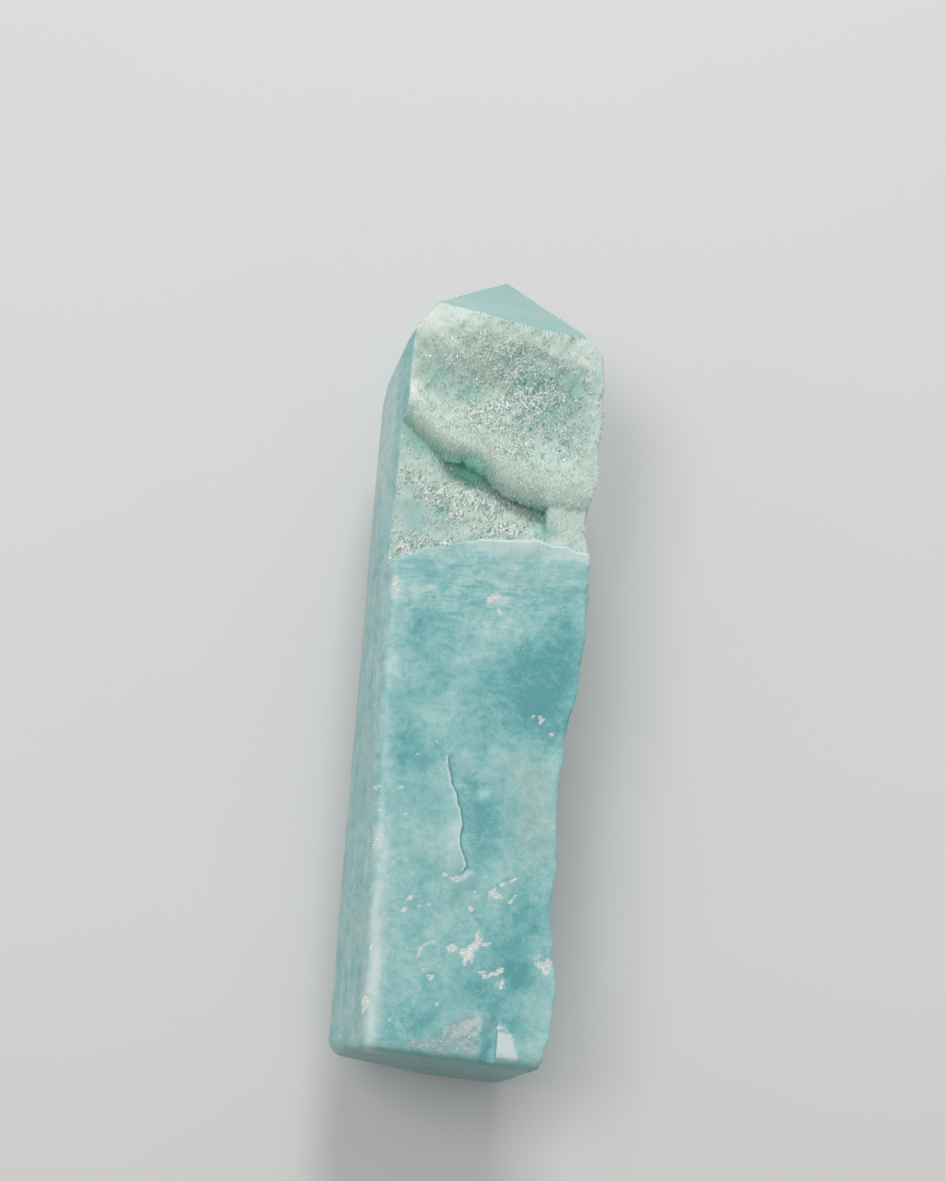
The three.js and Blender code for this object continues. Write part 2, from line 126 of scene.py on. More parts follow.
# Marks in the polished front.
markForm = {
    # the crack as y, x points
    "crack": [
        (-29, 0.4), (-27.8, 0.9), (-27.2, 1.12), (-26.3, 0.82), (-25.2, 0.35), (-24.2, 0.18), (-22.9, 0.3),
        (-21.8, 0.2), (-20.2, -0.26), (-18.7, -0.74), (-17.5, -1.3), (-15.9, -1.8), (-14.5, -2.03),
    ],
    "crackEnds": (-28.1, -14.2),
    "crackReach": 4.2,
    "crackDepth": 0.45,
    "groove": (4.2, 6.2, -45, 0.5),       # left, right, upper end, depth
    "block": (6.22, 7.8, 8.95, -46.05, -49.1),    # left, right at the top and below, top, low end
    # chips that show white: x, y, half length, half width, turn from +X, whiteness
    "chips": [
        (-5.1, -31.6, 0.6, 0.22, 50, 0.6),
        (-5.6, -33, 0.32, 0.22, 60, 0.9), (-3.86, -32.35, 0.2, 0.16, 0, 0.9),
        (-2.77, -32.1, 0.25, 0.2, 0, 0.45), (-7.24, -34.2, 0.18, 0.15, 0, 0.8),
        (4.3, -30.2, 0.42, 0.3, 20, 0.8),
        (4.9, -30.5, 0.5, 0.3, -20, 0.9), (4.6, -29.8, 0.28, 0.16, 70, 0.8),
        (5.4, -30.6, 0.22, 0.16, 0, 0.8), (4.2, -30.8, 0.2, 0.15, 0, 0.7),
        (2.37, -30.2, 0.16, 0.13, 0, 0.9), (2.07, -32.25, 0.36, 0.19, -50, 0.95),
        (5.5, -29.03, 0.24, 0.16, 30, 1), (6.6, -28.5, 0.32, 0.17, 40, 1), (6.9, -28.3, 0.24, 0.14, 80, 1),
        (7.05, -30.36, 0.26, 0.14, 60, 0.8), (6.61, -30.96, 0.26, 0.15, 60, 0.8),
        (1.6, -37.3, 0.5, 0.45, 0, 0.95), (2.2, -37.5, 0.7, 0.55, 90, 0.95), (2.7, -36.6, 0.6, 0.5, 30, 1),
        (3.2, -35.9, 0.45, 0.35, 40, 1), (3.1, -35.2, 0.5, 0.17, 85, 1), (4.1, -36.2, 0.5, 0.2, 15, 1),
        (1.9, -38.3, 0.36, 0.22, 90, 0.8), (0.3, -36.9, 0.55, 0.42, 0, 0.85),
        (-2, -36.35, 0.45, 0.14, 25, 0.7),
        (-2.8, -36.7, 0.45, 0.17, 35, 0.9), (-3.3, -37.2, 0.38, 0.2, 70, 1),
        (-3.4, -37.8, 0.28, 0.14, 110, 0.9), (-3.55, -38.2, 0.22, 0.14, 60, 0.6),
        (-2.68, -39.7, 0.3, 0.14, -30, 0.8),
        (-1.76, -40.4, 0.3, 0.18, 60, 1), (-2.1, -40.3, 0.3, 0.15, 10, 0.6),
        (3.9, -39.4, 0.36, 0.16, 10, 0.9),
        (4.2, -39.9, 0.26, 0.15, 80, 0.9), (4.7, -39.8, 0.26, 0.15, 40, 0.9),
        (5.2, -39.5, 0.42, 0.14, 5, 1), (5.7, -39.5, 0.32, 0.16, 0, 1), (6.05, -39, 0.36, 0.27, 10, 1),
        (6.24, -40.7, 0.58, 0.16, 85, 1), (5.85, -40.4, 0.34, 0.12, 60, 0.5),
        (10.6, -38, 0.6, 0.45, 0, 0.75), (11.3, -38.4, 0.6, 0.6, 0, 0.8), (11.4, -37.5, 0.4, 0.3, 0, 0.7),
        (10.1, -37.2, 0.5, 0.3, 40, 0.4), (11.6, -28.8, 0.9, 0.2, 88, 0.9),
        (-9, -44.3, 0.9, 0.4, 85, 0.75),
        (-9.2, -43.5, 0.35, 0.25, 60, 0.9), (-8.9, -37.9, 0.75, 0.14, 88, 0.85),
        (-0.92, -43.5, 0.26, 0.14, 85, 0.8),
        (-6.06, -45.6, 0.26, 0.13, 80, 0.6), (6.47, -45.5, 0.36, 0.22, 30, 0.7),
        (8.55, -9.3, 0.36, 0.15, 50, 1), (8.4, -8.9, 0.22, 0.13, 0, 1), (7.55, -8.9, 0.17, 0.14, 0, 0.8),
        (9.81, -10.8, 0.24, 0.14, 10, 0.9),
        (-3.5, -12.8, 0.24, 0.13, -40, 0.8), (-5.63, -14.5, 0.16, 0.13, 0, 0.7),
        (-10, -18.8, 0.4, 0.22, 0, 0.6),
        (-7.21, -18.6, 0.36, 0.13, 10, 0.9), (-9.36, -21.6, 0.4, 0.25, 20, 0.6),
        (-6.4, -21.8, 0.16, 0.14, 0, 0.9), (-9.57, -25.3, 0.9, 0.3, 88, 0.45),
        (-10.04, 6.3, 0.5, 0.42, 80, 0.95), (-9.76, 5, 0.45, 0.35, 70, 0.6),
        (1.8, 5.1, 0.85, 0.5, 30, 0.75), (2.6, 3.6, 0.5, 0.14, -65, 1),
        (0.5, -28.7, 0.8, 0.35, 20, 0.5),
        (-0.4, -28.9, 0.22, 0.16, 30, 0.8), (-1.2, -28.5, 0.3, 0.14, 150, 0.8),
    ],
    "chipDepth": 0.13,
    # crust left in the front near the base end: x, y, half length, half width, turn
    "scabs": [
        (3.6, -45.1, 1.1, 0.9, 20), (2.2, -46.3, 2.1, 1.2, 20), (3, -47.7, 1.4, 1.3, 0),
        (0.2, -47.9, 2.6, 0.9, 8), (-2.6, -48.2, 1.6, 0.5, 0),
    ],
    # brown stains on the base end: x, z, reach across, reach up, strength
    "stains": [(-6, 2.5, 4.5, 2.2, 1), (-12.5, 9, 1.5, 3, 0.7)],
    # bites out of the edges: x, y, z, size
    "bites": [
        (-9.6, 40.9, 21.9, 0.7), (-8, 42.9, 21.6, 0.6), (-10.8, 38.9, 21.4, 0.5),
        (-9.5, -44.3, 22.3, 0.6), (-10.4, 6.1, 22.3, 0.6), (-12.2, -50.3, 14, 0.8), (10.9, -50.2, 20, 0.9),
    ],
}


def facing(turn, lean):
    t = math.radians(turn)
    l = math.radians(lean)
    return (math.cos(t) * math.cos(l), math.sin(l), math.sin(t) * math.cos(l))


def flatGap(x, y, z, flat):
    turn, lean, px, py, pz = flat[:5]
    nx, ny, nz = facing(turn, lean)
    return (x - px) * nx + (y - py) * ny + (z - pz) * nz


def lineAt(points, x):
    px = np.array([p[0] for p in points], float)
    py = np.array([p[1] for p in points], float)
    last = len(points) - 1
    i = np.clip(np.searchsorted(px, x) - 1, 0, last - 1)
    before = np.maximum(i - 1, 0)
    after = np.minimum(i + 2, last)
    span = px[i + 1] - px[i]
    t = np.clip((x - px[i]) / span, 0, 1)
    slope0 = (py[i + 1] - py[before]) / (px[i + 1] - px[before]) * span
    slope1 = (py[after] - py[i]) / (px[after] - px[i]) * span
    t2 = t * t
    t3 = t2 * t
    start = (2 * t3 - 3 * t2 + 1) * py[i] + (t3 - 2 * t2 + t) * slope0
    return start + (3 * t2 - 2 * t3) * py[i + 1] + (t3 - t2) * slope1


def smoothStep(value, low, high):
    t = np.clip((value - low) / (high - low), 0, 1)
    return t * t * (3 - 2 * t)


def mix(a, b, t):
    return a + (b - a) * t


def dip(x, y, place):
    reach = ((x - place[0]) / place[2]) ** 2 + ((y - place[1]) / place[3]) ** 2
    return np.maximum(1 - reach, 0) ** 2


def gather(x, y, places):
    total = np.zeros(np.broadcast(x, y).shape)
    for px, py, across, along, strength in places:
        total += strength * np.exp(-((x - px) / across) ** 2 - ((y - py) / along) ** 2)
    return total


# How far out from the middle of a turned oval, 1 at its outline. `oval` starts x, y, long, wide, turn.
def ovalReach(x, y, oval):
    px, py, long, wide, turn = oval[:5]
    c, s = math.cos(math.radians(turn)), math.sin(math.radians(turn))
    return np.sqrt((((x - px) * c + (y - py) * s) / long) ** 2 + (((y - py) * c - (x - px) * s) / wide) ** 2)


def lumps(x, y):
    broad = 0.5 * np.sin(1.5 * x + 1.3 * np.sin(1.2 * y)) * np.cos(1.4 * y - 0.6 * x)
    return broad + 0.3 * np.sin(2.7 * x - 2 * y + 1) + 0.2 * np.sin(3.1 * y + 2.2 * x)


def smoothMax(a, b, radius):
    h = np.maximum(radius - np.abs(a - b), 0) / radius
    return np.maximum(a, b) + h * h * radius / 4


def smoothMin(a, b, radius):
    return -smoothMax(-a, -b, radius)


def latticeValue(i, j, k, seed):
    n = i * 73856093 ^ j * 19349663 ^ k * 83492791 ^ seed * 2654435
    n = (n ^ (n >> 13)) & 0x7fffffff
    n = (n * (n * n % 15731 + 789221) + 1376312589) & 0x7fffffff
    return n / 1073741823.5 - 1


# Smooth noise between -1 and 1, of features about `size` across.
def noise(x, y, z, size, seed=0, octaves=1):
    total = 0
    weight = 1
    for octave in range(octaves):
        px, py, pz = x / size + 31.7 * seed, y / size + 17.3 * seed, z / size + 5.1 * seed
        ix, iy, iz = (np.floor(p).astype(np.int64) for p in (px, py, pz))
        fx, fy, fz = (smoothStep(p - i, 0, 1) for p, i in ((px, ix), (py, iy), (pz, iz)))
        corners = [latticeValue(ix + a, iy + b, iz + c, seed + octave)
                   for a in (0, 1) for b in (0, 1) for c in (0, 1)]
        edges = [mix(corners[n], corners[n + 1], fz) for n in (0, 2, 4, 6)]
        total = total + weight * mix(mix(edges[0], edges[1], fy), mix(edges[2], edges[3], fy), fx)
        weight *= 0.5
        size *= 0.5
    return total / (2 - 2 * weight)


# The same on the level.
def flatNoise(x, y, size, seed=0, octaves=1):
    return noise(x, y, 0 * x, size, seed, octaves)


def stepAt(x, y):
    ragged = bedForm["raggedStep"] * (1 + 1.2 * smoothStep(-x, 1, 5))
    return lineAt(bedForm["stepLine"], x) + ragged * flatNoise(x, y * 0.3, 1.5, 8, 3)


def lipAt(x, y):
    notches = flatNoise(x, y * 0.2, 0.42, 19, 2)
    ragged = bedForm["raggedLip"] * (flatNoise(x, y * 0.5, 1.1, 9, 3) + 0.6 * notches)
    return lineAt(bedForm["lipLine"], x) + ragged


def floorHeight(x, y):
    stepY = lineAt(bedForm["stepLine"], x)
    up = np.clip((y - stepY) / (lineAt(bedForm["lipLine"], x) - stepY), 0, 1)
    floor = mix(bedForm["floorAtStep"], bedForm["floorAtLip"], up ** 1.5)
    for place in bedForm["floorDips"]:
        floor = floor - place[4] * dip(x, y, place)
    start, end, rim = bedForm["leftRim"]
    floor = mix(floor, rim, smoothStep(-x, start, end)) + bedForm["grain"] * lumps(x, y)
    half = bedForm["wallWidth"] / 2
    beside = smoothStep(x, bedForm["wallX"] - half, bedForm["wallX"] + half)
    return mix(floor, bedForm["wallTop"] + bedForm["grain"] * lumps(x, y), beside)


def bowlHeight(x, y):
    crestY = lineAt(bedForm["crestLine"], x)
    up = np.clip((y - crestY) / (bedForm["rimY"] - crestY), 0, 1)
    run = mix(bedForm["crest"], bedForm["rim"], up)
    left, right, width = bedForm["bowlSides"]
    inside = smoothStep(x, left, left + width) * smoothStep(-x, -right, -right + width)
    wander = 0.08 * flatNoise(x, y, 3, 37, 2)
    sag = bedForm["bowlDepth"] * smoothStep(up + wander, 0, 0.3) * smoothStep(-up + wander, -1, -0.5) * inside
    dips = sum(place[4] * dip(x, y, place) for place in bedForm["bowlDips"])
    return run - sag - dips + bedForm["grain"] * lumps(x, y) * (0.3 + 0.7 * smoothStep(up, 0, 0.15))


# Height of the ridge and the bowl: it rolls over from the crest down to the lip.
def ridgeHeight(x, y):
    lipY = lineAt(bedForm["lipLine"], x)
    crestY = lineAt(bedForm["crestLine"], x)
    part = np.clip((y - lipY) / (crestY - lipY), 0, 1)
    crest = bowlHeight(x, np.maximum(crestY, y))
    beside = smoothStep(x, bedForm["wallX"] - 0.9, bedForm["wallX"] + 0.3)
    lip = mix(bedForm["lip"], bedForm["wallTop"], beside)
    swell = 0.14 * flatNoise(x, y, 2.4, 38, 2) * np.sin(part * np.pi)
    return mix(lip, crest, np.sin(part * np.pi / 2)) + swell


# 1 on the ridge's roll, falling to 0 above and below it.
def onRidge(x, y):
    lipY = lineAt(bedForm["lipLine"], x)
    crestY = lineAt(bedForm["crestLine"], x)
    return smoothStep(y, lipY - 0.3, lipY + 0.2) * smoothStep(-y, -crestY - 1.6, -crestY + 0.2)


# How far along the stone its base end lies at x, z.
def baseAt(x, z):
    turn, lean, px, py, pz = stoneForm["baseCut"]
    nx, ny, nz = facing(turn, lean)
    return np.maximum(py - ((x - px) * nx + (z - pz) * nz) / ny, -stoneForm["length"] / 2)


# Less than 0 inside the stone and more than 0 outside, in about mm.
def stoneField(x, y, z, detail):
    field = None
    wander = lumpy = fibrous = edgeGrain = 0
    if detail:
        wander = stoneForm["polishWave"] * noise(x, y, z, 6, 3, 3)
        rough = np.clip(gather(x, y, colourPlaces["bright"]), 0, 1) * (1 - onRidge(x, y))
        lumpy = bedForm["lumpy"] * noise(x, y, z, 1.1, 5, 2) * (1 - 0.6 * onRidge(x, y))
        lumpy = lumpy * (0.55 + 0.6 * rough)
        fibrous = bedForm["fibrous"] * noise(x, y * 0.3, z * 0.3, 0.32, 6, 2) * (0.4 + rough)
        edgeGrain = noise(x, y, z, 1.2, 9, 3)
    stepY = stepAt(x, y)
    ground = 1 - smoothStep(y - stepY, -0.3, 0.6)     # 1 on the part that is polished all round
    wear = 1 + 0.45 * flatNoise(0 * y, y, 2.6, 4, 2)
    for px, pz, turn, lean, rounding in stoneForm["longFacets"]:
        flat = flatGap(x, y, z, (turn, lean, px, 0, pz)) + wander
        soft = mix(0.22, rounding, ground) * wear
        field = flat if field is None else smoothMax(field, flat, soft)
    px, pz, turn, lean, rounding = stoneForm["rightFacet"]
    right = flatGap(x, y, z, (turn, lean, px, 0, pz)) + stoneForm["rightWave"] * (1 + lumps(y / 3, z / 2))
    for hy, hz, along, up, depth in stoneForm["rightHollows"]:
        right = right + depth * dip(y, z, (hy, hz, along, up))
    for hy, hz, along, up, depth in stoneForm["rightNicks"]:
        right = right + 0.42 * depth * dip(y, z, (hy, hz, along, up))
    field = smoothMax(field, right + 0.2 * edgeGrain, rounding * wear)
    for turn, lean in stoneForm["tipFacets"]:
        flat = flatGap(x, y, z, (turn, lean, *stoneForm["apex"]))
        field = smoothMax(field, flat + wander, stoneForm["tipRounding"])
    for flat in stoneForm["shoulders"]:
        field = smoothMax(field, flatGap(x, y, z, flat) + wander, flat[5])
    field = smoothMax(field, flatGap(x, y, z, stoneForm["brokenShoulder"]) + 0.7 * edgeGrain, 0.15)
    half = stoneForm["length"] / 2
    field = smoothMax(field, -half - y, 0.3)
    field = smoothMax(field, flatGap(x, y, z, stoneForm["baseCut"]) + wander, 0.3)
    facets = stoneForm["longFacets"] + [stoneForm["rightFacet"]]
    for (px, pz, turn, lean, rounding), cut in zip(facets, stoneForm["baseBevels"]):
        flatX, _, flatZ = facing(turn, 0)
        bx, bz = px - flatX * cut, pz - flatZ * cut
        bevel = (turn, stoneForm["baseBevelLean"], bx, baseAt(bx, bz), bz)
        field = smoothMax(field, flatGap(x, y, z, bevel) + wander, stoneForm["baseRounding"])
    field = smoothMax(field, z - frontHeight(x, y), 0.06)
    tuck = bedForm["tuck"] * smoothStep(bedForm["lip"] - z, 0, 1.2) * (1 - smoothStep(x, 4, bedForm["wallX"]))
    floorCut = smoothMin(lipAt(x, y) + tuck - y, z - floorHeight(x, y) + lumpy + fibrous, 0.25)
    ridgeCut = z - ridgeHeight(x, y) + lumpy + fibrous
    bedCut = smoothMin(y - stepY, smoothMax(floorCut, ridgeCut, 0.4), 0.12)
    corner = gather(x, y, [bedForm["brokenCorner"]])
    field = smoothMax(field, bedCut + 0.4 * corner * edgeGrain, 0.12 + 0.6 * corner)
    for bx, by, bz, size in markForm["bites"]:
        ball = size - np.sqrt((x - bx) ** 2 + (y - by) ** 2 + (z - bz) ** 2)
        field = smoothMax(field, ball + 0.35 * size * edgeGrain, 0.12)
    return field


def crackAt(y):
    return lineAt(markForm["crack"], y) + 0.17 * flatNoise(0 * y, y, 0.6, 12, 2)


# How deep each place lies inside a chip: over 0 inside, ragged at the outline, times its whiteness.
def chipAt(x, y):
    ragged = 0.75 * flatNoise(x, y, 0.4, 26, 2)
    best = np.zeros(np.broadcast(x, y).shape)
    for chip in markForm["chips"]:
        best = np.maximum(best, chip[5] * smoothStep(1.3 - ovalReach(x, y, chip) + ragged, 0, 0.5))
    return best


# True in and near a chip.
def nearChip(x, y):
    near = np.zeros(np.broadcast(x, y).shape, bool)
    for px, py, long, wide, turn, _ in markForm["chips"]:
        near |= ovalReach(x, y, (px, py, long + 0.7, wide + 0.7, turn)) < 1
    return near


def scabAt(x, y):
    ragged = 0.55 * flatNoise(x, y, 0.9, 27, 4)
    best = np.zeros(np.broadcast(x, y).shape)
    for scab in markForm["scabs"]:
        best = np.maximum(best, smoothStep(1.15 - ovalReach(x, y, scab) + ragged, 0, 0.3))
    right = markForm["groove"][1]
    return best * (1 - smoothStep(x, right - 1.7, right - 0.9))


def blockAt(x, y):
    left, topRight, lowRight, top, low = markForm["block"]
    slant = mix(lowRight, topRight, np.clip((y - low) / (top - low), 0, 1))
    inside = np.minimum(np.minimum(x - left, slant - x), np.minimum(top - 0.12 * (x - left) - y, y - low))
    return smoothStep(inside + 0.06 * flatNoise(x, y, 0.5, 28, 2), -0.04, 0.14)


# Height of the front where a scar, groove, chip or scab is sunk in it, and above the stone elsewhere.
def frontHeight(x, y):
    crackX = crackAt(y)
    low, high = markForm["crackEnds"]
    along = smoothStep(y, low - 0.6, low + 0.9) * smoothStep(-y, -high, -high + 3)
    reach = np.clip((x - crackX) / markForm["crackReach"], 0, 1)
    scar = markForm["crackDepth"] * along * (1 - reach) ** 1.6 * smoothStep(x - crackX, -0.07, 0.07)
    left, right, end, depth = markForm["groove"]
    inGroove = smoothStep(x, left, left + 1.4) * smoothStep(-x, -right - 0.06, -right + 0.06)
    inGroove = inGroove * smoothStep(-y, -end - 1, -end + 1.2)
    chips = markForm["chipDepth"] * chipAt(x, y) * (1 + 0.7 * flatNoise(x, y, 0.5, 29, 2))
    scab = scabAt(x, y) * (0.12 + 0.16 * flatNoise(x, y, 0.8, 30, 3))
    sunk = scar + depth * inGroove + chips + np.maximum(scab, 0)
    return np.where(sunk > 0.005, stoneForm["thickness"] - sunk, stoneForm["thickness"] + 1)


# A mesh through the places where the field passes from inside to outside.
def surfaceNet(field, xs, ys, zs):
    axes = (xs, ys, zs)
    cells = tuple(n - 1 for n in field.shape)
    total = [np.zeros(cells) for _ in range(3)]
    count = np.zeros(cells)
    inside = field < 0
    crossings = []
    for axis in range(3):
        low = [slice(None)] * 3
        high = [slice(None)] * 3
        low[axis] = slice(0, -1)
        high[axis] = slice(1, None)
        low, high = tuple(low), tuple(high)
        where = np.argwhere(inside[low] != inside[high])
        end = where.copy()
        end[:, axis] += 1
        f0 = field[tuple(where.T)]
        f1 = field[tuple(end.T)]
        place = [axes[a][where[:, a]].astype(float) for a in range(3)]
        place[axis] = mix(axes[axis][where[:, axis]], axes[axis][end[:, axis]], f0 / (f0 - f1))
        others = [a for a in range(3) if a != axis]
        corners = []
        for du in (-1, 0):
            for dv in (-1, 0):
                cell = where.copy()
                cell[:, others[0]] += du
                cell[:, others[1]] += dv
                corners.append(cell)
                index = tuple(cell.T)
                for a in range(3):
                    np.add.at(total[a], index, place[a])
                np.add.at(count, index, 1)
        crossings.append((axis, corners, f0 < 0))
    used = count > 0
    number = np.full(cells, -1)
    number[used] = np.arange(used.sum())
    verts = np.stack([total[a][used] / count[used] for a in range(3)], 1)
    faces = []
    for axis, corners, startsInside in crossings:
        ids = [number[tuple(c.T)] for c in corners]
        quad = np.stack([ids[0], ids[2], ids[3], ids[1]], 1)
        flip = startsInside if axis == 1 else ~startsInside
        quad[flip] = quad[flip][:, ::-1]
        faces.append(quad)
    return verts, np.concatenate(faces), np.argwhere(used)


# Joins the points of each block of plain cells into one, and gives triangles.
def thinOut(verts, quads, cells, fine, span, bands):
    code = (cells[:, 0] // span * 4096 + cells[:, 1] // span) * 4096 + bands[cells[:, 2]]
    code = np.where(fine, -1 - np.arange(len(verts)), code)
    _, group = np.unique(code, return_inverse=True)
    count = np.bincount(group)
    joined = np.stack([np.bincount(group, verts[:, a]) / count for a in range(3)], 1)
    triangles = group[np.concatenate([quads[:, [0, 1, 2]], quads[:, [0, 2, 3]]])]
    a, b, c = triangles.T
    triangles = triangles[(a != b) & (b != c) & (a != c)]
    _, same, times = np.unique(np.sort(triangles, 1), axis=0, return_inverse=True, return_counts=True)
    triangles = triangles[times[same.ravel()] == 1]
    used = np.unique(triangles)
    number = np.zeros(len(joined), int)
    number[used] = np.arange(len(used))
    return joined[used], number[triangles]


# Slides points onto the detailed surface.
def settle(points, rounds=3, reach=0.35):
    p = points.copy()
    start = points.copy()
    h = 0.03
    for _ in range(rounds):
        f = stoneField(p[:, 0], p[:, 1], p[:, 2], True)
        slope = np.empty_like(p)
        for a in range(3):
            q = p.copy()
            q[:, a] += h
            slope[:, a] = (stoneField(q[:, 0], q[:, 1], q[:, 2], True) - f) / h
        size = np.maximum((slope ** 2).sum(1), 0.4)
        p -= slope * (f / size)[:, None] * 0.9
        move = p - start
        far = np.linalg.norm(move, axis=1)
        p = start + move * np.minimum(1, reach / np.maximum(far, 1e-6))[:, None]
    return p


# The moved points, but back at their start where moving them turned a triangle over.
def keepFacing(before, after, triangles):
    for _ in range(3):
        normals = []
        for points in (before, after):
            a, b, c = (points[triangles[:, i]] for i in range(3))
            normals.append(np.cross(b - a, c - a))
        turned = (normals[0] * normals[1]).sum(1) < 0
        back = np.unique(triangles[turned])
        after[back] = before[back]
    return after


def makeMesh(name, verts, faces, smooth):
    mesh = bpy.data.meshes.new(name)
    mesh.vertices.add(len(verts))
    mesh.vertices.foreach_set("co", (verts * mm).astype(np.float32).ravel())
    sides = faces.shape[1]
    mesh.loops.add(faces.size)
    mesh.loops.foreach_set("vertex_index", faces.astype(np.int32).ravel())
    mesh.polygons.add(len(faces))
    mesh.polygons.foreach_set("loop_start", np.arange(0, faces.size, sides, dtype=np.int32))
    mesh.polygons.foreach_set("use_smooth", np.full(len(faces), smooth))
    mesh.update(calc_edges=True)
    mesh.validate()
    piece = bpy.data.objects.new(name, mesh)
    bpy.context.scene.collection.objects.link(piece)
    return piece


def addMask(piece, name, values):
    layer = piece.data.attributes.new(name, "FLOAT", "POINT")
    layer.data.foreach_set("value", values.astype(np.float32))


meshDetail = {
    "side": 0.18,          # grid step across and along, in mm
    "frontStep": 0.22,     # grid step in height, near the front
    "backStep": 0.66,      # and far from it
    "frontDepth": 4.2,
    "span": 3,             # grid cells joined into one where the surface is plain
}


def buildStone():
    step = meshDetail["side"]
    top = stoneForm["thickness"] + 0.5
    half = stoneForm["length"] / 2 + 0.6
    xs = np.arange(-14.6, 14.6, step)
    ys = np.arange(-half, half, step)
    deepEnd = top - meshDetail["frontDepth"]
    backZs = np.arange(-0.7, deepEnd - 0.3, meshDetail["backStep"])
    zs = np.concatenate([backZs, np.arange(deepEnd, top, meshDetail["frontStep"])])
    field = stoneField(xs[:, None, None], ys[None, :, None], zs[None, None, :], False)
    verts, quads, cells = surfaceNet(field, xs, ys, zs)
    print("net:", len(verts), "points")
    x, y, z = verts.T
    near = (y > lineAt(bedForm["stepLine"], x) - 1) & (z > 17.8) & (y < 43.5)
    marks = nearChip(x, y) | (scabAt(x, y) + blockAt(x, y) > 0.01)
    crackX = crackAt(y)
    low, high = markForm["crackEnds"]
    byCrack = (abs(x - crackX) < 0.7) & (y > low - 1) & (y < high + 0.5)
    left, right, end = markForm["groove"][:3]
    byGroove = (x > left - 0.4) & (x < right + 0.4) & (y < end + 1)
    rightEdge = (x > 10.3) & (z > 19.8)
    tip = y > 46.5
    fine = near | rightEdge | tip | ((marks | byCrack | byGroove) & (z > 20.5))
    back = len(backZs)
    bands = np.array([k if k < back else back + (k - back) // 3 for k in range(len(zs))])
    verts, triangles = thinOut(verts, quads, cells, fine, meshDetail["span"], bands)
    verts = keepFacing(verts, settle(verts), triangles)
    verts[:, 2] = np.clip(verts[:, 2], 0, stoneForm["thickness"] + stoneForm["grainRise"])
    print("stone mesh:", len(verts), "points,", len(triangles), "triangles")
    return verts, triangles


# How far each point lies inside the unground bed, from 0 to 1.
def crustMask(x, y, z):
    grain = noise(x, y, z, 0.8, 31, 3)
    low = smoothStep(21 - z, 0, 3)      # away from the front its border wanders
    inside = (y - stepAt(x, y)) * 2 + 0.1 + 2.4 * low * noise(x, y, z, 2.6, 39, 3)
    for px, pz, turn, lean, _ in stoneForm["longFacets"][1:3]:
        inside = np.minimum(inside, -flatGap(x, y, z, (turn, lean, px, 0, pz)) * 3 - 0.1)
    inside = np.minimum(inside, -flatGap(x, y, z, stoneForm["shoulders"][2]) * 3 - 0.1)
    tip = stoneForm["tipFacets"]
    inside = np.minimum(inside, -flatGap(x, y, z, (*tip[0], *stoneForm["apex"])) * 4 - 0.15)
    inside = np.minimum(inside, -flatGap(x, y, z, (*tip[1], *stoneForm["apex"])) * 2)
    reach = z + 2.6 * noise(x, y, z, 4.5, 40, 4)
    return smoothStep(inside + 0.25 * grain, 0.1, 0.45) * smoothStep(reach, 15, 18.5)


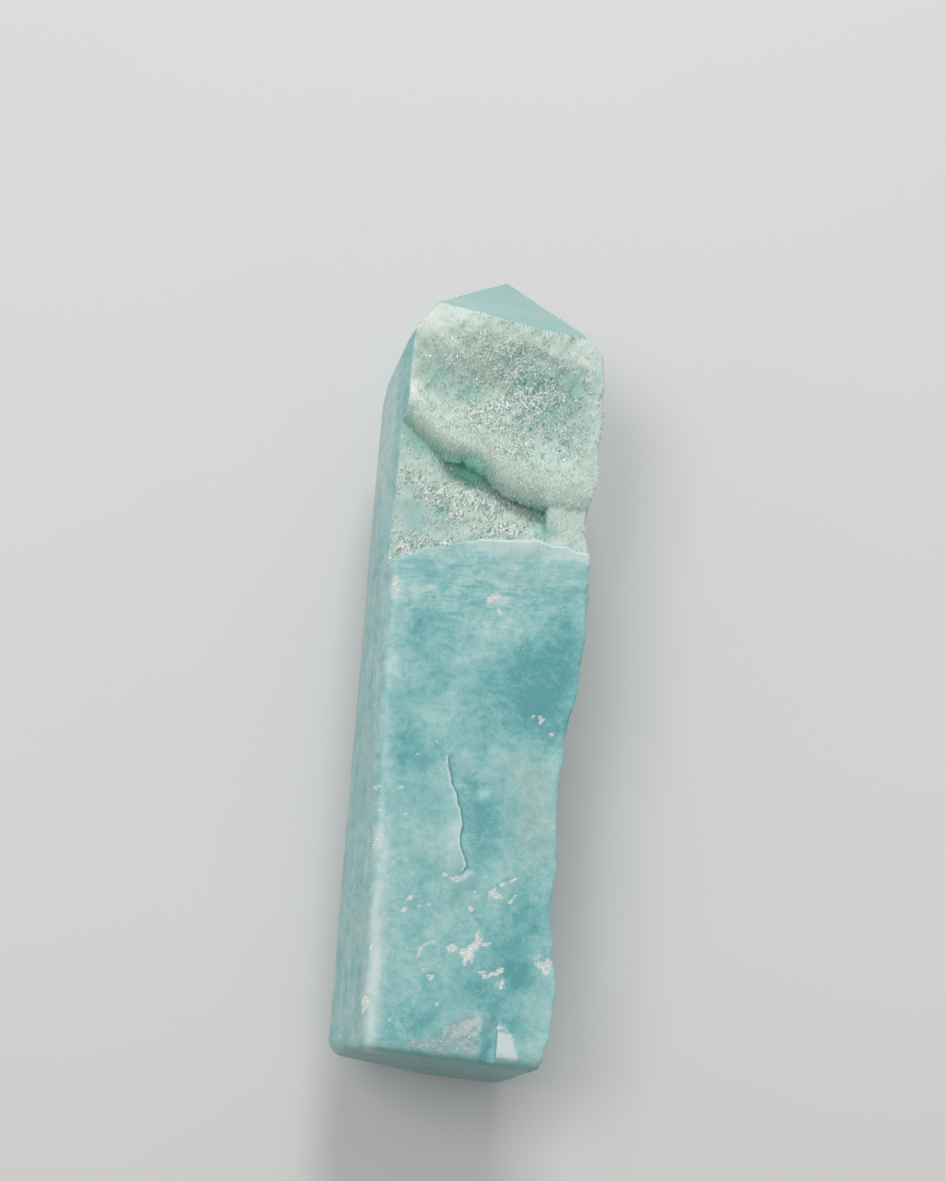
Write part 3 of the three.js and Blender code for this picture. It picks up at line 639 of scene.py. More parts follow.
# Where the colour gathers: x, y, reach across, reach along, strength.
colourPlaces = {
    "deep": [
        (-6.7, 8.3, 3.1, 1.5, 0.22), (-4.8, 7.5, 2.8, 1.2, 0.1), (-6, -0.1, 2.2, 3.6, 0.24),
        (8.7, -5.5, 4.6, 6.5, 0.52), (5.4, -0.9, 2.8, 2.5, 0.16), (11.8, 0.9, 1.8, 5, 0.2),
        (9.6, 5.6, 2.5, 1, 0.25), (-6.2, -14.9, 3.2, 2.6, 0.38), (2, -21.1, 2.1, 5.8, 0.55),
        (8, -34.8, 3, 4.8, 0.42), (7.9, -39.2, 1.9, 1.5, 0.5), (-3.6, -45.5, 3.2, 2.5, 0.32),
        (1.6, -41.7, 3.8, 2.2, 0.28), (3.5, -8, 4, 5, 0.18), (5.2, -47.2, 0.7, 2.4, 0.35),
        (-7.5, -7.5, 2.4, 2.4, 0.15), (7.4, -44, 2.6, 1.4, 0.2),
        (8.8, -45.6, 1.7, 1.2, 0.3), (11.6, 10.6, 1.3, 0.8, 0.3),
    ],
    "pale": [
        (-7.4, 5.4, 3.1, 1, 0.2), (1.6, 1.8, 3.8, 1.7, 0.25), (-1.6, -2.1, 2.2, 1, 0.3),
        (-4, -10, 1.6, 1.2, 0.15), (-5.6, -24.8, 4, 3.6, 0.1), (-0.8, -24, 1.2, 3, 0.25),
        (-7.4, -31.5, 1.4, 6, 0.22), (7.7, -15.9, 1.6, 2.6, 0.25), (8.4, -22.4, 2, 4.6, 0.18),
        (11.4, 5.4, 1.4, 1.5, 0.3), (9.6, -46.5, 2, 1.6, 0.05), (9.4, 11, 2, 1.2, 0.2),
        (-5, 43, 3.4, 1.2, 0.3), (1, 42.5, 9, 1.4, 0.12), (0.5, 46, 6, 3, 0.15),
        (2.86, -18.06, 0.8, 0.8, 0.6), (0.5, -34.4, 2.4, 1.6, 0.1), (0, -31.6, 2.4, 1.4, 0.12),
        (3, 8.4, 4, 0.7, 0.15),
    ],
    "olive": [
        (8.3, -21, 2.2, 5.6, 0.75), (7.2, -15.9, 1.8, 2.2, 0.5), (-3.4, -26.5, 3.4, 2.4, 0.35),
        (5, 7.6, 5.5, 1.3, 0.4), (4.6, 11.6, 5, 0.8, 0.5),
        (0.2, -30.6, 1.8, 1.6, 0.45), (-5, 11, 4, 1.2, 0.4), (-8.6, -36, 1, 6, 0.25),
        (0.9, -28.7, 1.6, 0.8, 0.6),
    ],
    # the crust's greens, from its cream ground
    "green": [
        (-7.6, 33.4, 2, 1.6, 0.5), (-3.3, 32.2, 2, 1.3, 0.35), (2, 35.7, 1.8, 1.1, 0.55),
        (4.2, 33, 2, 1.4, 0.5), (7.6, 34.2, 2.4, 1.6, 0.3),
        (5.6, 29.6, 2.8, 2, 0.45), (9.4, 31.6, 2, 3, 0.3),
        (-10.4, 27, 1, 1.2, 0.5), (-3.2, 31, 2, 1.2, 0.2),
        (-2.7, 22, 2.2, 1.1, 1.0), (-1.3, 20.7, 1.6, 1, 0.55), (-9.3, 24.9, 1.3, 1.4, 0.5),
        (-7.4, 23.8, 1.6, 1, 0.45), (-5.5, 22.7, 1.5, 0.9, 0.5), (-5.1, 15.9, 0.8, 0.6, 0.9),
        (-4, 14.9, 1.2, 0.5, 0.4), (6.5, 17, 0.9, 0.9, 0.65),
        (6.9, 15, 0.4, 1.6, 0.4), (3.8, 18, 3, 0.6, 0.35),
        (0.8, 19.4, 1, 0.9, 0.3), (7.6, 14.2, 0.9, 1.2, 0.35), (-0.4, 12.9, 1.8, 0.6, 0.3),
        (-8.4, 15.4, 2, 1.8, 0.3),
    ],
    # where the crust leans to blue
    "blue": [
        (7.6, 31.6, 3.2, 3.8, 0.8), (-8.4, 15.2, 2.4, 2, 1),
        (4, 34, 3, 1.6, 0.4), (8.6, 26.6, 2.4, 2.4, 0.45),
        (-3, 13.4, 2.4, 0.8, 0.4),
    ],
    # bright, coarse crystals
    "bright": [
        (-6, 18, 1.7, 1, 0.9), (-3, 18.2, 1.9, 1.2, 1),
        (-3.6, 15.9, 1.4, 0.9, 1), (0.4, 17.3, 2, 1.3, 0.65),
        (1.6, 13.9, 1.4, 1.2, 0.9), (3.3, 14.6, 1, 1.1, 0.8),
        (-9.4, 10.8, 1.8, 1.5, 1), (-4.7, 11.7, 2, 0.6, 0.9),
        (-8.8, 19.6, 1.8, 1.4, 0.3), (2.4, 24.4, 2.7, 1.3, 0.6), (-1.2, 27.8, 2.4, 1.4, 0.7),
        (3.6, 31.3, 1.5, 1.4, 0.9), (0.4, 29.7, 1.3, 1.4, 0.9), (1.9, 34.4, 1.1, 1.2, 0.7),
        (5.6, 31.5, 3.4, 3.4, 0.45), (-0.1, 37.4, 2.6, 1.6, 0.45),
        (-5.7, 35.1, 1, 0.8, 0.5), (-2.6, 28.6, 1.2, 1, 0.6),
        (5.2, 15.6, 1.2, 1, 0.4), (8.8, 25.5, 2, 1.6, 0.4),
    ],
    # smooth crust with few crystals
    "calm": [
        (-9.2, 39.6, 2.6, 2.6, 1), (-5.6, 41, 3.6, 1.4, 0.9),
        (10.2, 37, 3, 1.8, 0.8), (-8.5, 15.4, 2.2, 1.9, 1),
        (-10.6, 31, 1.2, 5, 0.8), (9.8, 15.8, 2.2, 3.4, 0.45),
        (11.6, 26, 1, 8, 0.4), (-9.6, 22.4, 1.6, 2.6, 0.5),
        (-2.4, 21.8, 1.8, 1, 0.6),
    ],
    # cream patches
    "cream": [
        (-8.6, 39.9, 2.4, 2.4, 0.8), (-5, 40.8, 3, 1.4, 0.6),
        (10, 37, 3, 1.8, 0.5), (-10, 30.4, 1.2, 2.4, 1),
        (10, 16, 2.4, 3.6, 0.25),
    ],
    # level bands below the step
    "bands": [(0, 6.5, 14, 4.5, 1)],
}


# The ridge is cream on top and turns green down at its lip.
def creamAt(x, y, fineX, fineY):
    above = y - lipAt(x, y)
    ridge = onRidge(x, y) * smoothStep(above, 0.2, 2.2 + 0.6 * flatNoise(x, y, 1.4, 36, 2))
    places = gather(fineX, fineY, colourPlaces["cream"])
    return np.maximum(places * smoothStep(above, -0.2, 1) + places * (above < -4), 0.4 * ridge)


# Painted shade: the crust greener and darker on the ridge's lower side, just above its lip.
def lipShade(x, y):
    above = y - lipAt(x, y)
    return bedForm["lipShade"] * smoothStep(above, -0.3, 0.1) * np.exp(-np.maximum(above, 0) / 0.8)


# The tones that the crust and its grains share.
def crustToneMasks(x, y, z):
    fineX = x + 0.5 * noise(x, y, z, 1.3, 24, 3)
    fineY = y + 0.5 * noise(x, y, z, 1.3, 25, 3)
    return {
        "green": gather(fineX, fineY, colourPlaces["green"]) + lipShade(x, y),
        "blue": gather(fineX, fineY, colourPlaces["blue"]),
        "cream": creamAt(x, y, fineX, fineY),
    }


def paintMasks(piece, verts):
    x, y, z = verts.T
    wanderX = x + 1.3 * noise(x, y, z, 3.2, 21, 3)
    wanderY = y + 1.3 * noise(x, y, z, 3.2, 22, 3)
    front = smoothStep(z, 14, 20)
    edgeX = stoneForm["leftEdge"][0] + stoneForm["leftEdge"][1] * y
    cloud = 0.5 + 0.26 * noise(x, y * 0.8, z, 6.5, 23, 4)
    deep = cloud + front * (gather(wanderX, wanderY, colourPlaces["deep"])
                            - gather(wanderX, wanderY, colourPlaces["pale"]))
    beside = smoothStep(edgeX - x, -0.1, 0.5)
    # Painted light: the strip on the left side is paler than the stone's own tone, making up for lamp light
    # it lacks, and paler still toward the tip.
    strip = 0.42 + 0.12 * noise(x, y, z, 5, 33, 3) - 0.28 * smoothStep(y, 8, 24)
    below = stepAt(x, y) - y
    rimBand = np.exp(-((below - 0.6) / 1.1) ** 2) * (0.12 + 0.45 * smoothStep(x, -3, 0)) * (z > 20)
    deep = mix(deep - rimBand, strip, beside * 0.85)
    # Painted sheen mixed with white mineral: a pale band along the front's left edge.
    rim = np.exp(-((x - edgeX - 0.6) / 1.0) ** 2) * (z > 18) * smoothStep(-y, -7, -5)
    rim = rim * np.clip(0.3 + 0.45 * smoothStep(-y, 18, 26) + 0.9 * noise(x, y * 0.5, z, 1.4, 34, 3), 0, 1.3)
    olive = gather(wanderX, wanderY, colourPlaces["olive"]) * front
    crust = crustMask(x, y, z)
    crustTones = crustToneMasks(x, y, z)
    bright = np.clip(gather(x, y, colourPlaces["bright"]), 0, 1)
    low, high = markForm["crackEnds"]
    crackX = crackAt(y)
    byCrack = smoothStep(y, low, low + 0.5) * smoothStep(-y, -high, -high + 0.5) * (z > 21)
    chalkAndHighlights = np.maximum(chipAt(x, y), 0.8 * blockAt(x, y)) * (z > 20)
    scab = scabAt(x, y) * (z > 20)
    fuzz = smoothStep(flatNoise(x, y, 0.45, 35, 2) + 0.9 * smoothStep(y, -48.6, -45) - 0.5, -0.2, 0.5)
    chalkAndHighlights = np.maximum(chalkAndHighlights, 0.42 * fuzz * smoothStep(scab, 0.05, 0.5))
    # A thin white line on the crack's brink: painted highlight.
    chalkAndHighlights = np.maximum(chalkAndHighlights, 0.95 * np.exp(-((x - crackX + 0.1) / 0.11) ** 2) * byCrack)
    # A thin white line along the step's edge: painted highlight.
    stepWhite = np.exp(-((y - stepAt(x, y) + 0.08) / 0.13) ** 2)
    stepWhite = stepWhite * smoothStep(x, -2.6, -1.4) * smoothStep(-x, -7.8, -7)
    chalkAndHighlights = np.maximum(chalkAndHighlights, 0.85 * stepWhite * (z > 21.2))
    plateau = byCrack * smoothStep(crackX - x, -0.05, 0.05) * np.exp((x - crackX) / 1.8)
    # Just right of the crack a thin dark line: painted shadow. The plateau left of it is paler, the scar
    # right of it darker.
    deep = deep + 0.5 * byCrack * np.exp(-((x - crackX - 0.16) / 0.1) ** 2)
    deep = deep - 0.22 * plateau + 0.2 * byCrack * (x > crackX) * np.exp((crackX - x) / 1.6)
    beyond = baseAt(x, z) - y
    frontTip = flatGap(x, y, z, (*stoneForm["tipFacets"][0], *stoneForm["apex"]))
    masks = {
        # lowered along the left edge's band of painted sheen and white mineral
        "deep": deep - 0.42 * rim,
        "olive": olive,
        "crust": crust,
        # greener and darker under the coarse crystals: partly their colour, partly painted shade between them
        "green": crustTones["green"] + 0.2 * bright + 0.08 * onRidge(x, y),
        "blue": crustTones["blue"],
        "cream": crustTones["cream"],
        # the left edge's band of painted sheen and white mineral whitens here too
        "chalkAndHighlights": np.maximum(chalkAndHighlights, 0.4 * rim),
        "scab": scab,
        "bands": front * gather(x, y, colourPlaces["bands"]),
        "even": smoothStep(frontTip, -0.5, -0.15) * (1 - crust),
        "streaks": np.maximum(beside, rim),
        # where the base end's painted shade and its streaks go
        "baseEnd": smoothStep(beyond, -0.7, -0.1) + 0.3 * smoothStep(beyond, -1.6, -0.8),
        "stain": gather(x, z, markForm["stains"]) * smoothStep(beyond, -1.4, -0.2),
    }
    for name, values in masks.items():
        addMask(piece, name, np.clip(values, 0, 1.3))


# A short way to add shader nodes and wire them.
class NodeTable:
    def __init__(self, name):
        self.material = bpy.data.materials.new(name)
        self.material.use_nodes = True
        self.tree = self.material.node_tree
        self.shader = self.tree.nodes["Principled BSDF"]
        self.place = self.tree.nodes.new("ShaderNodeTexCoord").outputs["Object"]

    def add(self, kind, **settings):
        node = self.tree.nodes.new(kind)
        for key, value in settings.items():
            setattr(node, key, value)
        return node

    def join(self, source, target):
        self.tree.links.new(source, target)

    def mask(self, name):
        return self.add("ShaderNodeAttribute", attribute_name=name).outputs["Fac"]

    def grain(self, sizeMm, detail=3, rough=0.55, distortion=0.0, stretch=None):
        node = self.add("ShaderNodeTexNoise")
        node.inputs["Scale"].default_value = 1000 / sizeMm
        node.inputs["Detail"].default_value = detail
        node.inputs["Roughness"].default_value = rough
        node.inputs["Distortion"].default_value = distortion
        place = self.place
        if stretch:
            scaled = self.add("ShaderNodeVectorMath", operation="MULTIPLY")
            self.join(place, scaled.inputs[0])
            scaled.inputs[1].default_value = [1 / s for s in stretch]
            place = scaled.outputs[0]
        self.join(place, node.inputs["Vector"])
        return node.outputs["Fac"]

    def maths(self, operation, a, b, clamp=False):
        node = self.add("ShaderNodeMath", operation=operation, use_clamp=clamp)
        for socket, value in zip(node.inputs, (a, b)):
            if hasattr(value, "is_output"):
                self.join(value, socket)
            else:
                socket.default_value = value
        return node.outputs[0]

    def times(self, a, b):
        return self.maths("MULTIPLY", a, b)

    def plus(self, *terms):
        total = terms[0]
        for term in terms[1:]:
            total = self.maths("ADD", total, term)
        return total

    def ramp(self, factor, stops):
        node = self.add("ShaderNodeValToRGB")
        elements = node.color_ramp.elements
        while len(elements) < len(stops):
            elements.new(0.5)
        for element, (position, colour) in zip(elements, stops):
            element.position = position
            element.color = (*colour, 1)
        self.join(factor, node.inputs["Fac"])
        return node.outputs["Color"]

    def blend(self, factor, a, b):
        node = self.add("ShaderNodeMix", data_type="RGBA")
        self.join(factor, node.inputs["Factor"])
        for name, value in (("A", a), ("B", b)):
            socket = [s for s in node.inputs if s.name == name and s.type == "RGBA"][0]
            if hasattr(value, "is_output"):
                self.join(value, socket)
            else:
                socket.default_value = (*value, 1)
        return [s for s in node.outputs if s.type == "RGBA"][0]

    # Spreads a grain's middle range between two values.
    def swing(self, grain, low, high):
        return self.spread(grain, 0.3, 0.7, low, high)

    def spread(self, factor, fromLow, fromHigh, toLow, toHigh):
        node = self.add("ShaderNodeMapRange")
        names = ("From Min", "From Max", "To Min", "To Max")
        for name, value in zip(names, (fromLow, fromHigh, toLow, toHigh)):
            node.inputs[name].default_value = value
        self.join(factor, node.inputs["Value"])
        return node.outputs["Result"]


stoneFinish = {
    "polished": [
        (0.0, (0.56, 0.71, 0.69)),
        (0.25, (0.41, 0.64, 0.62)),
        (0.5, (0.29, 0.56, 0.555)),
        (0.75, (0.18, 0.47, 0.475)),
        (1.0, (0.10, 0.37, 0.385)),
    ],
    "olive": (0.26, 0.415, 0.37),
    "tipFacet": (0.29, 0.44, 0.41),
    "crust": [
        (0.0, (0.64, 0.745, 0.685)),
        (0.3, (0.47, 0.64, 0.565)),
        (0.6, (0.34, 0.58, 0.495)),
        (0.85, (0.29, 0.565, 0.47)),
        # the last stop, reached mostly in the hollow under the ridge, is lighter: painted light against the
        # hollow's shade
        (1.0, (0.30, 0.76, 0.59)),
    ],
    "cream": (0.85, 0.90, 0.835),
    "crustBlue": (0.35, 0.58, 0.56),
    # the white of chips and plates, also of the painted highlights
    "chalkAndHighlights": (0.80, 0.84, 0.83),
    "scab": (0.34, 0.46, 0.47),
    # the base end's colour, darker than the stone's teal: painted shade on the end facing away from the lamps
    "baseEnd": (0.15, 0.33, 0.31),
    "stain": (0.50, 0.47, 0.30),
    "subsurface": 0.3,
    "subsurfaceRadius": (0.5, 1.0, 1.0),
    "subsurfaceScale": 0.0014,
}


# The crust's colour from its masks, shared by its ground and its crystals.
def crustColour(t, speckle):
    veil = t.grain(1.6, 4, 0.6, 0.6)
    shade = t.plus(t.mask("green"), t.spread(veil, 0.35, 0.65, 0.02, 0.26), speckle)
    colour = t.ramp(shade, stoneFinish["crust"])
    colour = t.blend(t.times(t.mask("blue"), 0.65), colour, stoneFinish["crustBlue"])
    return t.blend(t.maths("MULTIPLY", t.mask("cream"), 0.85, True), colour, stoneFinish["cream"])


def stoneMaterial():
    t = NodeTable("polishedAragonite")
    cloud = t.grain(3.2, 5, 0.62, 0.8)
    veil = t.grain(0.95, 4, 0.62, 0.5)
    sugar = t.grain(0.34, 3, 0.6)
    offMiddle = t.maths("ABSOLUTE", t.plus(t.grain(2.4, 5, 0.66, 1.1), -0.5), 0)
    threads = t.spread(offMiddle, 0, 0.045, -0.16, 0.02)
    patches = t.spread(t.grain(7, 2), 0.4, 0.6, 0.2, 1)
    wisps = t.grain(0.8, 4, 0.62, 1.2, (4, 1, 1))
    streaks = t.grain(0.75, 4, 0.6, 0.3, (1, 16, 1.6))
    endStreaks = t.grain(0.3, 4, 0.65, 0.2, (20, 1, 1))
    bands = t.plus(t.times(t.mask("bands"), 0.3), 0.05)
    mottle = t.plus(
        t.swing(cloud, -0.2, 0.2),
        t.swing(veil, -0.15, 0.15),
        t.swing(sugar, -0.07, 0.07),
        t.times(threads, patches),
        t.times(t.swing(wisps, -1, 1), bands),
    )
    shade = t.plus(
        t.mask("deep"),
        t.times(mottle, t.spread(t.mask("even"), 0, 1, 1, 0.6)),
        t.times(t.swing(streaks, -0.17, 0.17), t.mask("streaks")),
        t.times(t.swing(endStreaks, -0.1, 0.3), t.mask("baseEnd")),
    )
    colour = t.ramp(shade, stoneFinish["polished"])
    oliveTone = t.times(t.mask("olive"), t.swing(veil, 0.3, 0.75))
    colour = t.blend(oliveTone, colour, stoneFinish["olive"])
    colour = t.blend(t.times(t.mask("even"), 0.6), colour, stoneFinish["tipFacet"])
    # Painted shade: the base end darker.
    colour = t.blend(t.times(t.mask("baseEnd"), 0.55), colour, stoneFinish["baseEnd"])
    fur = t.grain(0.24, 3, 0.6, 0.0, (1, 4.5, 4.5))
    speckle = t.plus(t.swing(fur, -0.09, 0.09), t.swing(sugar, -0.03, 0.03))
    colour = t.blend(t.mask("crust"), colour, crustColour(t, speckle))
    scabTone = t.times(t.mask("scab"), t.spread(veil, 0.35, 0.65, 0.45, 1.0))
    colour = t.blend(scabTone, colour, stoneFinish["scab"])
    # White chips and plates, and the painted highlights on the crack, step and left edge.
    white = t.times(t.mask("chalkAndHighlights"), t.spread(sugar, 0.3, 0.6, 0.7, 1.0))
    colour = t.blend(white, colour, stoneFinish["chalkAndHighlights"])
    colour = t.blend(t.times(t.mask("stain"), 0.5), colour, stoneFinish["stain"])
    t.join(colour, t.shader.inputs["Base Color"])
    raw = t.maths("MAXIMUM", t.mask("crust"), t.maths("MAXIMUM", t.mask("chalkAndHighlights"), t.mask("scab")), True)
    smear = t.swing(t.grain(2.2, 4, 0.6), 0.3, 0.46)
    t.join(t.maths("ADD", smear, t.times(raw, 0.35), True), t.shader.inputs["Roughness"])
    bump = t.add("ShaderNodeBump")
    bump.inputs["Distance"].default_value = 0.00016
    fine = t.plus(t.times(sugar, 0.6), t.times(fur, 0.8))
    height = t.plus(t.times(veil, 0.15), t.times(fine, t.plus(t.times(raw, 0.5), 0.07)))
    t.join(height, bump.inputs["Height"])
    t.join(bump.outputs["Normal"], t.shader.inputs["Normal"])
    t.shader.inputs["IOR"].default_value = 1.53
    t.shader.inputs["Subsurface Weight"].default_value = stoneFinish["subsurface"]
    t.shader.inputs["Subsurface Radius"].default_value = stoneFinish["subsurfaceRadius"]
    t.shader.inputs["Subsurface Scale"].default_value = stoneFinish["subsurfaceScale"]
    return t.material


# Points spread over the triangles, more of them where `weight` is high, with the normals there.
def scatter(verts, triangles, weight, count, rng):
    a, b, c = (verts[triangles[:, i]] for i in range(3))
    normal = np.cross(b - a, c - a)
    area = np.linalg.norm(normal, axis=1)
    normal /= np.maximum(area, 1e-9)[:, None]
    chance = area * weight(*((a + b + c) / 3).T)
    picks = rng.choice(len(triangles), count, p=chance / chance.sum())
    u, v = np.sort(rng.random((2, count)), axis=0)[:, :, None]
    return a[picks] * u + b[picks] * (v - u) + c[picks] * (1 - v), normal[picks]


# One joined mesh of small pointed prisms, each rooted a little way in.
def growPrisms(name, form, root, axis, rng, size=1):
    sides = form["sides"]
    width = mix(*form["width"], rng.random(len(root))) * size
    length = mix(*form["length"], rng.random(len(root)) ** form["shortness"]) * size
    axis = axis / np.linalg.norm(axis, axis=1)[:, None]
    side = np.cross(axis, rng.normal(size=axis.shape))
    side /= np.linalg.norm(side, axis=1)[:, None]
    other = np.cross(axis, side)
    base = root - axis * (length * form["sunk"])[:, None]
    rings = []
    for along, spread in ((0, 1), (0.74, 0.85)):
        for k in range(sides):
            angle = 2 * math.pi * k / sides
            out = side * math.cos(angle) + other * math.sin(angle) * 0.75
            rings.append(base + axis * (along * length)[:, None] + out * (spread * width)[:, None])
    points = np.stack(rings + [base + axis * length[:, None]], 1)
    points[:, :, 2] = np.minimum(points[:, :, 2], stoneForm["thickness"] + stoneForm["grainRise"])
    shape = []
    for k in range(sides):
        m = (k + 1) % sides
        shape += [(k, m, sides + m), (k, sides + m, sides + k), (sides + k, sides + m, 2 * sides)]
    per = 2 * sides + 1
    faces = (np.arange(len(root))[:, None, None] * per + np.array(shape)[None]).reshape(-1, 3)
    print(name + ":", len(root), "with", len(faces), "triangles")
    return makeMesh(name, points.reshape(-1, 3), faces, False), per


def tintPrisms(piece, root, white, per, deepen=0):
    masks = crustToneMasks(*root.T)
    masks["green"] = masks["green"] + deepen
    masks["white"] = white
    for name, values in masks.items():
        addMask(piece, name, np.repeat(np.clip(values, 0, 1.2), per))


crystalForm = {
    "count": 8400,
    "seed": 11,
    "width": (0.075, 0.145),
    "length": (0.34, 0.8),
    "shortness": 1.3,         # over 1, more of them are short
    "sunk": 0.3,
    "axis": (0, 0.7, 0.1),    # more of them lean to the tip
    "scatter": 0.45,
    "whitePart": 0.74,
    "sides": 4,
    "nests": [(2.5, 30, 7, 6, 0.5), (-1, 16, 5, 3, 0.25)],    # where more of them grow
}


def crystalWeight(x, y, z):
    bright = gather(x, y, colourPlaces["bright"])
    calm = np.clip(gather(x, y, colourPlaces["calm"]), 0, 1)
    clumps = smoothStep(noise(x, y, z, 0.9, 41, 2), -0.35, 0.35)
    weight = 0.12 + gather(x, y, crystalForm["nests"]) + 1.9 * np.clip(bright, 0, 1.2)
    weight = weight * (1 - 0.96 * calm) * (1 - 0.85 * onRidge(x, y)) * (0.15 + clumps)
    return weight * (crustMask(x, y, z) > 0.6)


def buildCrystals(verts, triangles):
    rng = np.random.default_rng(crystalForm["seed"])
    count = crystalForm["count"]
    root, normal = scatter(verts, triangles, crystalWeight, count, rng)
    bright = np.clip(gather(root[:, 0], root[:, 1], colourPlaces["bright"]), 0, 1)
    size = (0.75 + 0.45 * bright) * (0.6 + 0.8 * rng.random(count))
    axis = 0.35 * normal + np.array(crystalForm["axis"])
    axis = axis + crystalForm["scatter"] * rng.normal(size=normal.shape)
    piece, per = growPrisms("crustCrystals", crystalForm, root, axis, rng, size)
    isWhite = rng.random(count) < crystalForm["whitePart"]
    white = np.where(isWhite, 0.6 + 0.4 * bright, 0.05) * (0.8 + 0.2 * rng.random(count))
    tintPrisms(piece, root, white, per, np.where(isWhite, 0, 0.18))
    return piece


fibreForm = {
    "count": 8000,
    "seed": 12,
    "width": (0.03, 0.05),
    "length": (0.4, 0.8),
    "shortness": 1,
    "sunk": 0.5,
    "sides": 3,
}


def fibreWeight(x, y, z):
    calm = np.clip(gather(x, y, colourPlaces["calm"]), 0, 1)
    return (0.3 + 1.4 * onRidge(x, y)) * (1 - 0.6 * calm * (1 - onRidge(x, y))) * (crustMask(x, y, z) > 0.6)


def buildFibres(verts, triangles):
    rng = np.random.default_rng(fibreForm["seed"])
    count = fibreForm["count"]
    root, normal = scatter(verts, triangles, fibreWeight, count, rng)
    fall = mix(0.8, -0.9, onRidge(root[:, 0], root[:, 1]))[:, None] * np.array((0, 1, 0))
    axis = 0.3 * normal + fall + 0.2 * rng.normal(size=normal.shape)
    piece, per = growPrisms("crustFibres", fibreForm, root, axis, rng)
    tintPrisms(piece, root, 0.65 * rng.random(count) ** 1.6, per, 0.16 * rng.random(count))
    return piece


# Splinters of white stone standing in the chips.
splinterForm = {
    "count": 2600,
    "seed": 13,
    "width": (0.04, 0.09),
    "length": (0.12, 0.3),
    "shortness": 1,
    "sunk": 0.5,
    "sides": 4,
}


def splinterWeight(x, y, z):
    block = blockAt(x, y)
    return (chipAt(x, y) ** 2 + 0.015 * scabAt(x, y)) * (1 - block) * (z > 21) * (y < stepAt(x, y) - 0.3)


def buildSplinters(verts, triangles):
    rng = np.random.default_rng(splinterForm["seed"])
    count = splinterForm["count"]
    root, normal = scatter(verts, triangles, splinterWeight, count, rng)
    axis = normal + 0.9 * rng.normal(size=normal.shape)
    axis[:, 2] = np.abs(axis[:, 2]) + 0.1
    piece, per = growPrisms("chipSplinters", splinterForm, root, axis, rng)
    tintPrisms(piece, root, 0.65 + 0.35 * rng.random(count), per)
    return piece


grainFinish = {
    "white": (0.95, 0.975, 0.95),
    "roughness": (0.16, 0.38),
}


def grainMaterial():
    t = NodeTable("crustCrystal")
    speckle = t.swing(t.grain(0.5, 3, 0.6), -0.12, 0.12)
    colour = t.blend(t.mask("white"), crustColour(t, speckle), grainFinish["white"])
    t.join(colour, t.shader.inputs["Base Color"])
    t.join(t.swing(t.grain(0.8, 2), *grainFinish["roughness"]), t.shader.inputs["Roughness"])
    t.shader.inputs["IOR"].default_value = 1.55
    return t.material


studio = {
    "floorSize": 8,
    "floorColour": (0.725, 0.72, 0.71),
    # painted shade: the floor's colour darker toward -Y, standing in for light falling off
    "floorFall": (-0.085, -0.03, 0.93),    # up to the first Y it is this much dimmer, from the second not
    # soft boxes: name, place, width, height, power
    "boxes": [
        ("key", (0.04, 0.878, 0.663), 0.34, 0.48, 6.0),
        ("side", (-0.4, 0.071, 1.02), 0.5, 0.45, 2.6),
    ],
    "skyColour": (1.0, 1.0, 1.0),
    "skyStrength": 0.41,
}


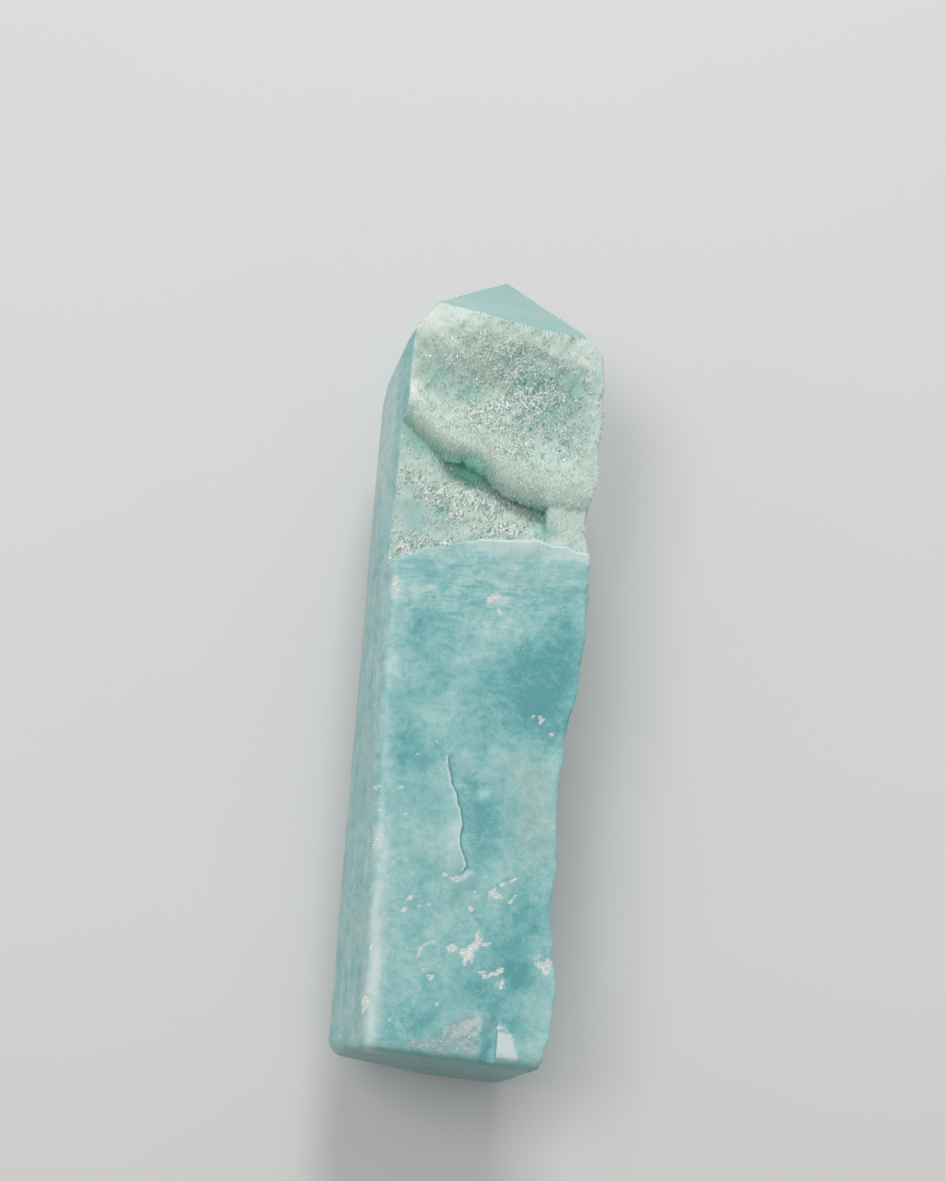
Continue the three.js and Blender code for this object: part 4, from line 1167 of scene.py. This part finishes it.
def buildStudio():
    half = studio["floorSize"] / 2
    corners = np.array([(-half, -half, 0), (half, -half, 0), (half, half, 0), (-half, half, 0)]) / mm
    floor = makeMesh("floor", corners, np.array([(0, 1, 2, 3)]), False)
    t = NodeTable("paleFloor")
    tone = t.swing(t.grain(60, 3), 0, 1)
    paper = t.ramp(tone, [(0, studio["floorColour"]), (1, [c * 1.01 for c in studio["floorColour"]])])
    parts = t.add("ShaderNodeSeparateXYZ")
    t.join(t.place, parts.inputs[0])
    # Painted shade: the floor's colour darkens toward -Y, standing in for the light falling off.
    near, far, dim = studio["floorFall"]
    lit = t.spread(parts.outputs["Y"], near, far, 0, 1)
    paper = t.blend(lit, [c * dim for c in studio["floorColour"]], paper)
    t.join(paper, t.shader.inputs["Base Color"])
    t.shader.inputs["Roughness"].default_value = 0.6
    floor.data.materials.append(t.material)
    for name, place, width, height, power in studio["boxes"]:
        lamp = bpy.data.lights.new(name, "AREA")
        lamp.shape = "RECTANGLE"
        lamp.size = width
        lamp.size_y = height
        lamp.energy = power
        box = bpy.data.objects.new(name, lamp)
        box.location = place
        box.rotation_euler = (-Vector(place)).to_track_quat("-Z", "Y").to_euler()
        bpy.context.scene.collection.objects.link(box)
    world = bpy.data.worlds.new("sky")
    world.use_nodes = True
    sky = world.node_tree.nodes["Background"]
    sky.inputs["Color"].default_value = (*studio["skyColour"], 1)
    sky.inputs["Strength"].default_value = studio["skyStrength"]
    bpy.context.scene.world = world
    bpy.context.scene.view_settings.view_transform = "Standard"


shot = {
    "target": (-0.81, 9.16, 11),    # in the stone's own mm
    "distance": 367.7,
    "tilt": 16.5,                   # degrees off straight down, from the base end
    "roll": 4.84,
    "lens": 91.45,
    "sensor": 36,
}


def aimCamera():
    tilt = math.radians(shot["tilt"])
    roll = math.radians(shot["roll"])
    look = Vector((0, math.sin(tilt), -math.cos(tilt)))
    up = Vector((0, math.cos(tilt), math.sin(tilt)))
    right = look.cross(up)
    turnedUp = up * math.cos(roll) - right * math.sin(roll)
    turnedRight = right * math.cos(roll) + up * math.sin(roll)
    pose = Matrix((turnedRight, turnedUp, -look)).transposed().to_4x4()
    target = Vector(shot["target"]) + Vector((stoneForm["frameShift"], 0, 0))
    pose.translation = (target - look * shot["distance"]) * mm
    lens = bpy.data.cameras.new("camera")
    lens.lens = shot["lens"]
    lens.sensor_width = shot["sensor"]
    lens.clip_start = 0.01
    camera = bpy.data.objects.new("camera", lens)
    camera.matrix_world = pose
    bpy.context.scene.collection.objects.link(camera)
    bpy.context.scene.camera = camera


aimCamera()
buildStudio()
verts, triangles = buildStone()
toFrame = Matrix.Translation((stoneForm["frameShift"] * mm, 0, 0))
stone = makeMesh("aragoniteStone", verts, triangles, True)
paintMasks(stone, verts)
stone.data.materials.append(stoneMaterial())
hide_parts("aragonite_point")
grains = [buildCrystals(verts, triangles), buildFibres(verts, triangles), buildSplinters(verts, triangles)]
crystalSkin = grainMaterial()
for piece in grains:
    piece.data.materials.append(crystalSkin)
for piece in [stone] + grains:
    piece.data.transform(toFrame)
    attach(piece, "root")
print("pieces ready")
